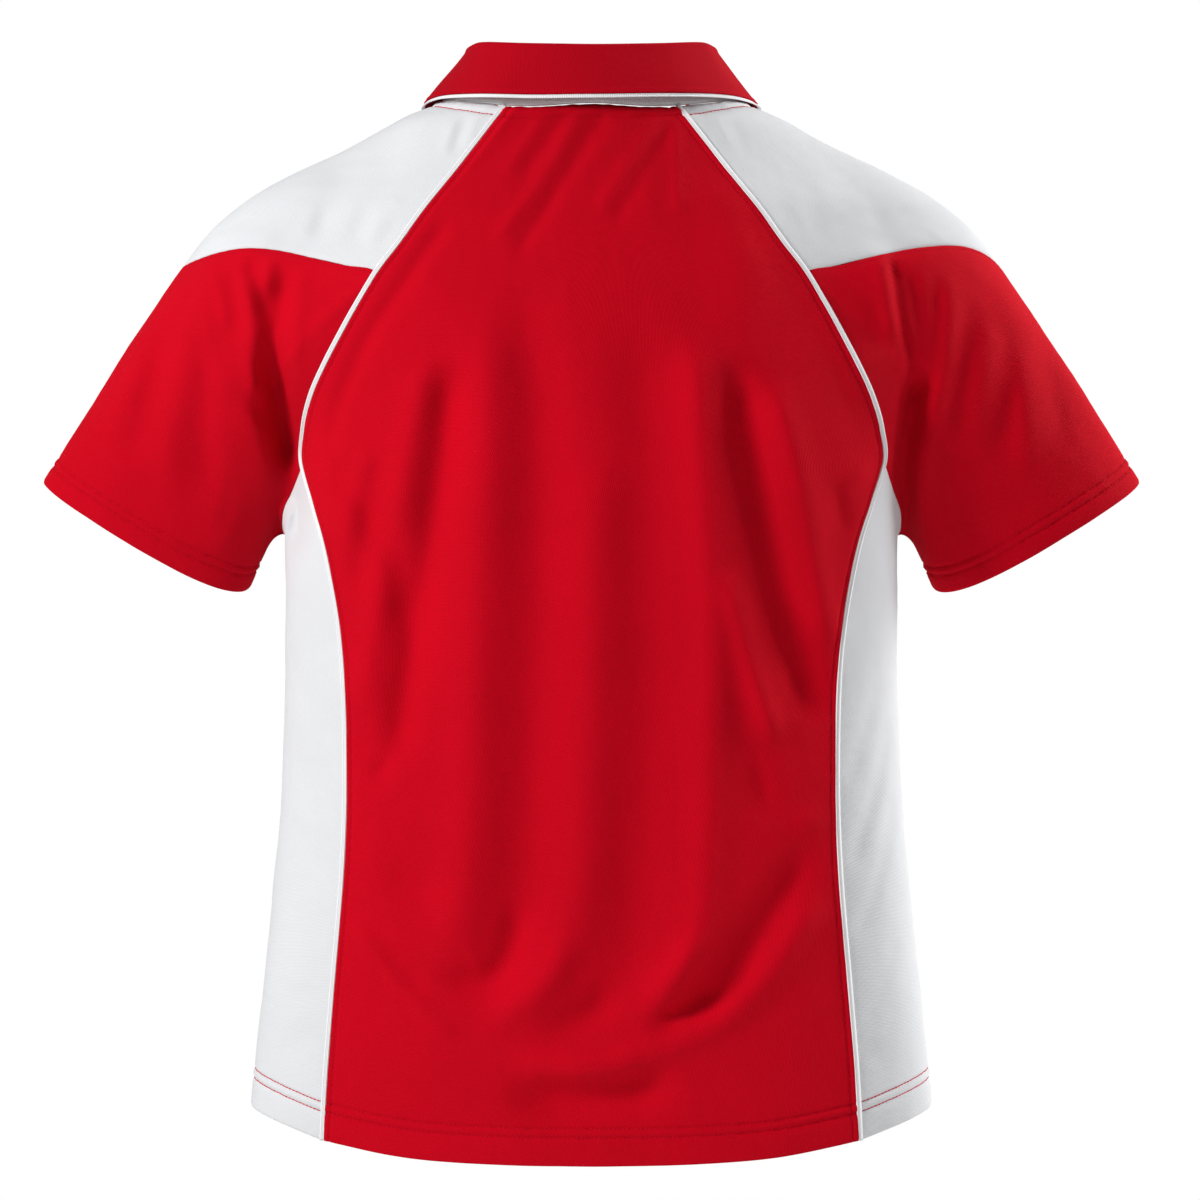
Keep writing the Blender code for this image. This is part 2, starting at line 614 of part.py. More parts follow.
def rim_edges(bm, verts):
    wanted = set(verts)
    return [edge for edge in bm.edges if edge.is_boundary and set(edge.verts) <= wanted]


def wall(name, outer, inner, colour, closed=False, slit=None):
    """A closed body between an outer and an inner grid; slit names cells that are open."""
    bm = bmesh.new()
    sheets = [grid_sheet(bm, outer), grid_sheet(bm, inner)]
    if slit:
        first, last, depth = slit
        for sheet in sheets:
            corners = {vert: (r, c) for r, row in enumerate(sheet) for c, vert in enumerate(row)}
            gone = []
            for face in bm.faces:
                spots = [corners.get(vert) for vert in face.verts]
                if None not in spots and all(r <= depth and first <= c <= last for r, c in spots):
                    gone.append(face)
            bmesh.ops.delete(bm, geom=gone, context="FACES")
    if closed:
        for sheet in sheets:
            ends = [vert for row in sheet for vert in (row[0], row[-1])]
            bmesh.ops.remove_doubles(bm, verts=ends, dist=1e-7)
        for row in (0, -1):
            ring = [vert for sheet in sheets for vert in sheet[row] if vert.is_valid]
            bmesh.ops.bridge_loops(bm, edges=rim_edges(bm, ring))
    else:
        bmesh.ops.bridge_loops(bm, edges=[edge for edge in bm.edges if edge.is_boundary])
    bmesh.ops.recalc_face_normals(bm, faces=bm.faces)
    mesh = bpy.data.meshes.new(name)
    bm.to_mesh(mesh)
    bm.free()
    mesh.shade_smooth()
    return add_object(name, mesh, colour)


def inset_line(line, facing, before, after, distance):
    """A line moved sideways in the surface, mitred where it turns."""
    behind = line - np.vstack((before[None], line[:-1]))
    ahead = np.vstack((line[1:], after[None])) - line
    sides = [unit(np.cross(facing, edge)) for edge in (behind, ahead)]
    spread = 1 + np.sum(sides[0] * sides[1], axis=1, keepdims=True)
    return line + (sides[0] + sides[1]) / np.maximum(spread, MITRE_LIMIT) * distance


def inset_grid(grid, facing, closed, seam_below):
    """Moves the seam edges of a panel inwards by half the gap between pieces."""
    moved = grid.copy()
    turn = np.cross(grid[0, 1] - grid[0, 0], grid[1, 0] - grid[0, 0]) @ facing[0, 0]
    inwards = math.copysign(SEAM_GAP / 2, turn)
    if closed:
        moved[0] = inset_line(grid[0], facing[0], grid[0, -2], grid[0, 1], inwards)
        return moved
    for column, way in ((0, -inwards), (-1, inwards)):
        line = grid[:, column]
        moved[:, column] = inset_line(line, facing[:, column], 2 * line[0] - line[1],
                                      2 * line[-1] - line[-2], way)
    edges = [(0, 1, inwards)] + ([(-1, -2, -inwards)] if seam_below else [])
    for row, next_row, way in edges:
        line = inset_line(grid[row], facing[row], grid[next_row, 0], grid[next_row, -1], way)
        moved[row, 1:-1] = line[1:-1]
        for column, beside in ((0, 1), (-1, -2)):
            moved[row, column] += line[beside] - grid[row, beside]
    return moved


def panel(name, grid, colour, hem=True, closed=False, slit=None):
    """A cloth wall on a grid of places on the form, with its folds, thicker at its hem."""
    facing = normals(grid)
    outer = inset_grid(grid + fold_offsets(grid, facing), facing, closed, seam_below=not hem)
    thick = np.full(grid.shape[:2] + (1,), CLOTH)
    if hem:
        thick[-1] = HEM_CLOTH
    return wall(name, outer, outer - facing * thick, colour, closed, slit)


# ---------------------------------------------------------------- the pieces

def panel_grids():
    """The places of every panel of the left side and of the two bodies."""
    return dict(back=back_grid(), front=front_grid(), side=side_grid(), yoke=yoke_grid(),
                sleeve=sleeve_grid())


def make_bodies(grids):
    panel("back_panel", grids["back"], "red")
    front = grids["front"]
    middle = CELLS["body"] // 2
    drop = front[:, middle, 2]
    depth = int(np.argmin(np.abs(drop - (drop[0] - SLIT_LENGTH))))
    panel("front_panel", front, "red", slit=(middle - 1, middle + 1, depth))


def make_sides(grids):
    panel("side_panel_left", grids["side"], "white")
    panel("side_panel_right", mirrored(grids["side"]), "white")


def make_sleeves(grids):
    for name, turned in (("left", False), ("right", True)):
        cover = mirrored(grids["yoke"]) if turned else grids["yoke"]
        panel("shoulder_yoke_" + name, cover, "white", hem=False)
        tube = mirrored(grids["sleeve"]) if turned else grids["sleeve"]
        panel("sleeve_" + name, tube, "red", closed=True)


def beside_seam(grids, face, turned):
    """The places next to a long seam: in the body panel, and in the pieces beyond it."""
    places = {}
    for name, grid in grids.items():
        places[name] = folded(mirrored(grid) if turned else grid)
    in_body = places[face][:, 1]
    first = CELLS["shoulder"]
    second = first + CELLS["armhole"]
    third = second + CELLS["underarm"]
    if face == "back":
        in_yoke = places["yoke"][:, 1]
        in_sleeve = places["sleeve"][1, third:][::-1]
        in_side = places["side"][:, -2]
    else:
        in_yoke = places["yoke"][:, -2]
        in_sleeve = places["sleeve"][1, first:second + 1]
        in_side = places["side"][:, 1]
    return in_body, joined(in_yoke, in_sleeve, in_side)


def steepest_lean(beside, line, run, facing):
    """The direction from a seam into a panel that clears every facet that meets the seam."""
    rows = np.arange(len(line))
    chosen = None
    for shift in (-1, 0, 1):
        lean = beside[np.clip(rows + shift, 0, len(line) - 1)] - line
        lean = unit(lean - run * np.sum(lean * run, axis=1, keepdims=True))
        rise = np.sum(lean * facing, axis=1, keepdims=True)
        if chosen is None:
            chosen, highest = lean, rise
        chosen = np.where(rise > highest, lean, chosen)
        highest = np.maximum(rise, highest)
    return chosen


def make_piping(grids):
    """A raised cord of folded tape over each long seam, from the neck to the hem."""
    half = PIPING_WIDTH / 2
    for face, edge in (("back", BACK_EDGE), ("front", FRONT_EDGE)):
        for name, turned in (("left", False), ("right", True)):
            line = mirrored(edge) if turned else edge
            facing = normals(line)
            middle = folded(line)
            run = unit(np.gradient(middle, axis=0))
            sides = [steepest_lean(beside, middle, run, facing)
                     for beside in beside_seam(grids, face, turned)]
            base = middle + facing * (SEAM_GAP + PIPING_CLEARANCE)
            low = np.stack([base + sides[side] * half * across
                            for side, across, _ in PIPING_SECTION], axis=1)
            crown = np.array([above for _, _, above in PIPING_SECTION]) * PIPING_HEIGHT
            high = low + facing[:, None] * crown[None, :, None]
            wall("piping_" + face + "_" + name, high, low, "white")


def collar_ring(table, turns):
    """Places of a collar line at turns from -180 to 180, smooth through the table."""
    half = [smooth_table(table, column) for column in (1, 2, 3)]
    sizes = np.stack([curve(np.abs(turns)) for curve in half], axis=-1)
    sizes[..., 0] *= np.sign(turns)
    return sizes


def collar_turns(cells):
    """Turns from one end of the collar, round the back, to the other."""
    end = 180 - math.degrees(FRONT_OPENING / COLLAR_FRONT_REACH)
    return np.linspace(-end, end, cells + 1)


def thickened(name, middle, colour, clear=0.0):
    """A wall of collar cloth about a grid of places in its middle, clear of the form."""
    along = np.gradient(middle, axis=1)
    down = np.gradient(middle, axis=0)
    half = unit(np.cross(down, along)) * COLLAR_CLOTH / 2
    outer, inner = middle + half, middle - half
    if clear:
        short = np.maximum(clear - np.minimum(form(inner), form(outer)), 0)[..., None]
        push = normals(middle) * short
        outer, inner = outer + push, inner + push
    return wall(name, outer, inner, colour)


def outward_from_neck(ring):
    """Level directions away from the middle of the neck."""
    return unit(ring * np.array((1.0, 1.0, 0.0)) - np.array((0.0, NECK_FORWARD, 0.0)))


def make_stand(turns):
    top = collar_ring(STAND_TOP, turns)
    base = neckline(turns)
    base = base - outward_from_neck(base) * COLLAR_CLOTH / 2
    base[:, 2] += SEAM_GAP + COLLAR_LIFT
    rise = np.linspace(1, 0, CELLS["stand"] + 1)[:, None, None]
    thickened("collar_stand", rise * top[None] + (1 - rise) * base[None], "white")


def leaf_rows(turns):
    """The leaf from the top of the stand, over its roll and down to its edge."""
    top = collar_ring(STAND_TOP, turns)
    out = outward_from_neck(top)
    rows = []
    for rise, reach in ROLL:
        rows.append(top + out * reach + np.array((0.0, 0.0, rise)))
    edge = collar_ring(LEAF_EDGE, turns)
    start = rows[-1]
    for share in LEAF_SHARES:
        rows.append((1 - share) * start + share * edge)
    return np.stack(rows)


def make_collar():
    turns = collar_turns(CELLS["collar"])
    make_stand(turns)
    leaf = leaf_rows(turns)
    thickened("collar_leaf", leaf, "red", clear=COLLAR_CLEAR)
    fall = unit(leaf[-1] - leaf[-2])
    edge = leaf[-1]
    strip = np.stack((edge + fall * TIPPING_GAP, edge + fall * TIPPING_DROP))
    thickened("collar_tipping", strip, "white", clear=COLLAR_CLEAR)


def placket_strip():
    """A strip of places down the middle of the front, from the neckline."""
    x = np.linspace(-PLACKET_HALF_WIDTH, PLACKET_HALF_WIDTH, CELLS["placket_across"] + 1)
    top = neckline(180 + np.degrees(np.arcsin(x / NECK_HALF_WIDTH)))[:, 2]
    down = np.linspace(0, 1, CELLS["placket_down"] + 1)[:, None]
    z = (1 - down) * top + down * (top.min() - PLACKET_LENGTH)
    return face_places(np.broadcast_to(x, z.shape).copy(), z, 1)


def make_placket():
    strip = placket_strip()
    out = PLACKET_CLEAR
    wall("placket_upper", folded(strip, out + CLOTH), folded(strip, out), "red")
    under = -(CLOTH + out)
    wall("placket_under", folded(strip, under), folded(strip, under - CLOTH), "red")


def make_buttons():
    top = neckline((180.0,))[0]
    surface = PLACKET_CLEAR + CLOTH + SEAM_GAP + BUTTON_LIFT
    for number, drop in enumerate(BUTTON_DROPS, 1):
        place = face_places(np.zeros(1), np.array((top[2] - drop,)), 1)
        facing = normals(place)[0]
        spot = folded(place, surface)[0]
        mesh = bpy.data.meshes.new("button_profile")
        radius = BUTTON_DIAMETER / 2
        mesh.from_pydata([(x * radius, 0.0, z * BUTTON_HEIGHT) for x, z in BUTTON_SECTION],
                         [(i, i + 1) for i in range(len(BUTTON_SECTION) - 1)], [])
        button = add_object("button_%d" % number, mesh, "button")
        turn = button.modifiers.new("turned", "SCREW")
        turn.steps = turn.render_steps = 16
        turn.use_merge_vertices = True
        turn.merge_threshold = 0.00001
        button.location = spot
        tilt = math.atan2(facing[1], facing[2])
        button.rotation_euler = (-tilt, 0.0, 0.0)


def main():
    for old in list(bpy.data.objects):
        bpy.data.objects.remove(old)
    shirt = bpy.data.collections.new("polo_shirt")
    bpy.context.scene.collection.children.link(shirt)
    grids = panel_grids()
    make_bodies(grids)
    make_sides(grids)
    make_sleeves(grids)
    make_piping(grids)
    make_collar()
    make_placket()
    make_buttons()


main()
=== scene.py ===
"""The looks of the raglan polo shirt: knit, folds, seams, stitching, light and camera.

Every cloth piece is a thin shell on the form that its solid follows.  A coarse grid between the
seams is drawn finer, the folds move its points straight back or forward, the seams move them
along the form's normals, and Solidify gives it a thickness.  Threads lie on lines of the
finished grids.
"""

import math

import bmesh
import bpy
import numpy as np
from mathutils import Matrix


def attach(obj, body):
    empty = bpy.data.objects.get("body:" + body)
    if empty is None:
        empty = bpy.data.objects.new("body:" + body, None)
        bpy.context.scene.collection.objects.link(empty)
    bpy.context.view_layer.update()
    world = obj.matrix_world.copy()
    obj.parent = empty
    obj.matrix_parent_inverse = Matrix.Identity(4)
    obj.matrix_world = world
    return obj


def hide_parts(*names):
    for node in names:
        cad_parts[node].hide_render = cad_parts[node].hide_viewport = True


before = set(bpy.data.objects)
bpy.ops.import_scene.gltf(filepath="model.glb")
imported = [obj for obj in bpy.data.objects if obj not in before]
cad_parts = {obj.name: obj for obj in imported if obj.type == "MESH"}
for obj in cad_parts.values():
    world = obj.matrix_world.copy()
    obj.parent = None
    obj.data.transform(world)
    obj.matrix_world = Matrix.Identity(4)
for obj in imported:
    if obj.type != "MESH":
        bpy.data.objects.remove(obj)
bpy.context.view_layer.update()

# ---------------------------------------------------------------- sizes, in metres

NECK_HALF_WIDTH = 0.105
NECK_HALF_DEPTH = 0.087
NECK_FORWARD = 0.011          # the neck's middle, towards the front
NECK_ROUND_BACK = 2.6         # roundness: 2 is an ellipse, more is squarer
NECK_ROUND_FRONT = 2.0
NECK_HEIGHTS = (-0.15, 0.05)  # the neck seam lies between them
FORM_DEPTH = 0.2              # more than the form's depth to either side of its middle
BACK_NECK_POINT = 28.0        # degrees round the neck from the back
FRONT_NECK_POINT = 130.0
SLIT_HALF_WIDTH = 0.0155      # the front slit, under the placket
SLIT_LENGTH = 0.150
SLIT_CELLS = 8                # columns of the front's fine grid across it
PLACKET_HALF_WIDTH = 0.0175
PLACKET_LENGTH = 0.160
PLACKET_CLEAR = 0.0006        # between the placket and the front
PLACKET_ROW = 0.0025          # its stitches, in from the edge
PLACKET_CELLS = (119, 28)     # down, across
CLOTH = 0.0011                # knit
DOUBLE_CLOTH = 0.0016         # collar, stand and placket
PIPING_HALF_WIDTH = 0.0019
PIPING_PLACES = 400           # along each piece of it
PIPING_CLOTH = 0.0004         # thickness of the tapes
TIPPING_CLOTH = 0.0009
SEAM_STITCH = 0.0056          # topstitch, in from the piping
HEM_ROWS = (0.0195, 0.0260)   # the hem's two rows of stitches, up from the edge
CUFF_ROWS = (0.0135, 0.0200)
NECK_ROW = 0.0090             # single rows, in from their edges
SLEEVE_ROW = 0.0030
LEAF_ROW = 0.0028
NECK_HOLD = 0.014             # how far below the neck seam its row of stitches flattens the folds
NECK_HELD = 0.7               # the share of them that it takes away at the seam
KNIT_PITCH = 0.0012           # of the knit's cells and ribs
KNIT_DEPTH = 0.00025
FUZZ_SCALE = 900.0            # noise scales of the knit: fine fuzz, slow patches
PATCH_SCALE = 14.0
STITCH_PITCH = 0.0031
STITCH_LENGTH = 0.0022
STITCH_LIFT = 0.00010
THREAD = 0.00026              # half its thickness
BOLD_STITCH_LENGTH = 0.0027   # the red stitches on white
BOLD_THREAD = 0.00042
BUTTON_DIAMETER = 0.0112
BUTTON_HEIGHT = 0.0024
BUTTON_DROPS = (0.020, 0.072, 0.124)   # below the neck seam
BUTTON_LIFT = 0.0002
BUTTON_DISH = 0.62            # height of the dished middle, a share of the rim's
BUTTON_HOLE = 0.00055
BUTTON_HOLE_OUT = 0.0016      # from the button's middle
SEAM_GAP = 0.0003             # between the neck seam and the stand
HEM_CURL = 0.005              # how far the hem leans in, and from how far above it
HEM_CURL_REACH = 0.070
SHOULDER_MEETS = (0.160, -0.034)   # from the middle, height
SHOULDER_REACH = 0.045
SHOULDER_ROUNDS = 50          # rounds of evening out there
SHOULDER_LIFT = 0.0020        # height given back after them
SHOULDER_RIM = 0.012          # beside the yoke's seams, where nothing is evened out
SHOULDER_FADE = 0.020
SEAM_RISE = 0.0075            # of the right shoulder seam, at its outer end
SEAM_RISE_AT = (0.277, -0.099)     # from the middle, height
SEAM_RISE_REACH = (0.034, 0.045)
SEAM_RISE_FADE = 0.04         # depth over which it fades out towards the front
FOLD_FADE = 3.0               # half-widths over which a fold fades out at each end
FOLD_FADE_SHARE = 0.45        # and the most of its length
FOLD_REACH = 3                # half-widths beyond which a fold is left out
SLOW_WAVES = (0.00035, 0.060)      # unevenness of the cloth: height, length
QUICK_WAVES = (0.00012, 0.018)
FLOOR = -1.12
FLOOR_HALF_WIDTH = 1.8
CAMERA_PLACE = (0.006, -2.5, -0.3382)
CAMERA_LENS = 107.13          # millimetres, on a sensor 36 wide
LIT_PLACE = (0.0, 0.0, -0.35)      # where the lamps point
LAMPS = (
    # name, place, width, watts
    ("key", (-2.38, -1.87, 1.18), 0.9, 96),
    ("edge", (2.70, 0.84, 0.95), 1.2, 106),
)
FILL_LIGHT = 0.32

TORSO = (
    # height, half_width, back_depth, front_depth, roundness
    (-0.740, 0.2420, 0.0955, 0.0985, 2.20),
    (-0.640, 0.2330, 0.1005, 0.1040, 2.20),
    (-0.560, 0.2245, 0.1070, 0.1120, 2.20),
    (-0.470, 0.2165, 0.1120, 0.1180, 2.20),
    (-0.380, 0.2138, 0.1165, 0.1220, 2.20),
    (-0.300, 0.2140, 0.1210, 0.1270, 2.20),
    (-0.240, 0.2160, 0.1230, 0.1270, 2.20),
    (-0.180, 0.2200, 0.1210, 0.1220, 2.20),
    (-0.120, 0.2215, 0.1140, 0.1120, 2.18),
    (-0.075, 0.1985, 0.1040, 0.0990, 2.12),
    (-0.045, 0.1700, 0.0940, 0.0890, 2.06),
    (-0.025, 0.1570, 0.0860, 0.0820, 2.02),
    (-0.010, 0.1460, 0.0800, 0.0760, 2.00),
    (+0.000, 0.1270, 0.0755, 0.0720, 2.00),
    (+0.010, 0.1030, 0.0700, 0.0680, 2.00),
    (+0.050, 0.0700, 0.0580, 0.0600, 2.00),
)
SLEEVE_ROOT = np.array((-0.2198, 0.0108, -0.1192))
SLEEVE_RUN = np.array((-0.4800, 0.1940, -0.8485))
SLEEVE_LENGTH = 0.202
CUFF_SLANT = 0.030
CUFF_BACK_DROP = 0.009
CUFF_STEPS = 720              # steps round the cuff from which its points are picked
SLEEVE = (
    # along, half_width, half_depth
    (-0.100, 0.0040, 0.004),
    (-0.080, 0.0240, 0.030),
    (-0.046, 0.0460, 0.048),
    (-0.015, 0.0600, 0.060),
    (+0.017, 0.0660, 0.062),
    (+0.060, 0.0710, 0.060),
    (+0.100, 0.0750, 0.056),
    (+0.150, 0.0790, 0.048),
    (+0.205, 0.0825, 0.041),
)
BLEND = (
    # height, how far torso and sleeve melt into each other
    (-0.350, 0.012),
    (-0.310, 0.022),
    (-0.270, 0.050),
    (-0.190, 0.080),
    (-0.120, 0.065),
    (-0.060, 0.050),
    (+0.050, 0.050),
)
YOKE_SIDE_BACK = (
    (-0.0940, -0.082, -0.047), (-0.1150, -0.087, -0.075), (-0.1340, -0.090, -0.102),
    (-0.1455, -0.089, -0.117),
)
ARMHOLE_BACK = (
    (-0.1455, -0.089, -0.117), (-0.1605, -0.085, -0.142), (-0.1750, -0.079, -0.169),
    (-0.1880, -0.069, -0.195), (-0.1970, -0.058, -0.222), (-0.2000, -0.052, -0.243),
)
SIDE_BACK = (
    (-0.2000, -0.052, -0.243), (-0.1936, -0.058, -0.263), (-0.1805, -0.069, -0.304),
    (-0.1700, -0.076, -0.365), (-0.1670, -0.077, -0.447), (-0.1695, -0.075, -0.528),
    (-0.1765, -0.070, -0.610), (-0.1855, -0.066, -0.707),
)
YOKE_SIDE_FRONT = (
    (-0.0960, 0.078, -0.050), (-0.1150, 0.082, -0.075), (-0.1340, 0.087, -0.102),
    (-0.1480, 0.088, -0.119),
)
ARMHOLE_FRONT = (
    (-0.1480, 0.088, -0.119), (-0.1620, 0.085, -0.145), (-0.1750, 0.080, -0.169),
    (-0.1880, 0.071, -0.195), (-0.1970, 0.061, -0.222), (-0.2000, 0.054, -0.243),
)
SIDE_FRONT = (
    (-0.2000, 0.054, -0.243), (-0.1945, 0.060, -0.263), (-0.1815, 0.073, -0.304),
    (-0.1710, 0.080, -0.365), (-0.1680, 0.080, -0.447), (-0.1705, 0.078, -0.528),
    (-0.1775, 0.073, -0.610), (-0.1860, 0.068, -0.699),
)
YOKE_SLEEVE = (
    (-0.1455, -0.089, -0.117), (-0.1775, -0.073, -0.1085), (-0.2164, -0.056, -0.0990),
    (-0.2490, -0.039, -0.0977), (-0.2680, -0.024, -0.1004), (-0.2855, 0.004, -0.1030),
    (-0.2710, 0.045, -0.1020), (-0.2490, 0.062, -0.0990), (-0.2164, 0.071, -0.0995),
    (-0.1775, 0.077, -0.1090), (-0.1480, 0.088, -0.119),
)
UNDERARM = (
    (-0.2000, 0.054, -0.243), (-0.2080, 0.049, -0.270), (-0.2150, 0.037, -0.288),
    (-0.2185, 0.020, -0.288), (-0.2160, 0.000, -0.280), (-0.2105, -0.022, -0.268),
    (-0.2055, -0.040, -0.257), (-0.2000, -0.052, -0.243),
)
HEM_BACK = ((-0.1855, -0.066, -0.707), (-0.1250, -0.085, -0.7165), (-0.0600, -0.095, -0.7200),
            (0.0, -0.097, -0.7207))
HEM_FRONT = ((-0.1860, 0.068, -0.699), (-0.1250, 0.087, -0.7030), (-0.0600, 0.097, -0.7050),
             (0.0, 0.099, -0.7055))
HEM_SIDE = ((-0.1860, 0.068, -0.699), (-0.2240, 0.040, -0.6935), (-0.2385, 0.0, -0.6900),
            (-0.2240, -0.040, -0.6950), (-0.1855, -0.066, -0.707))
CELLS = dict(yoke=6, armhole=6, side=16, body=20, shoulder=14, underarm=6, sleeve=9)
SEAM_PLACES = 24              # steps between two places of a seam's table, while it is drawn
DENSE_DOWN = 10               # steps to a cell of the coarse grids, while they are drawn finer
DENSE_ACROSS = 8
DENSE_FRONT = 6               # columns to a cell beside the front's slit
EASING = 12                   # rounds of evening out the coarse grids
SLEEVE_EASING = 25
FINE = dict(
    # even steps down and across the fine grids, between the steps of their edges
    back=(170, 112),
    front=(130, 44),
    side=(120, 40),
    yoke=(60, 96),
    sleeve=(62, 230),
)

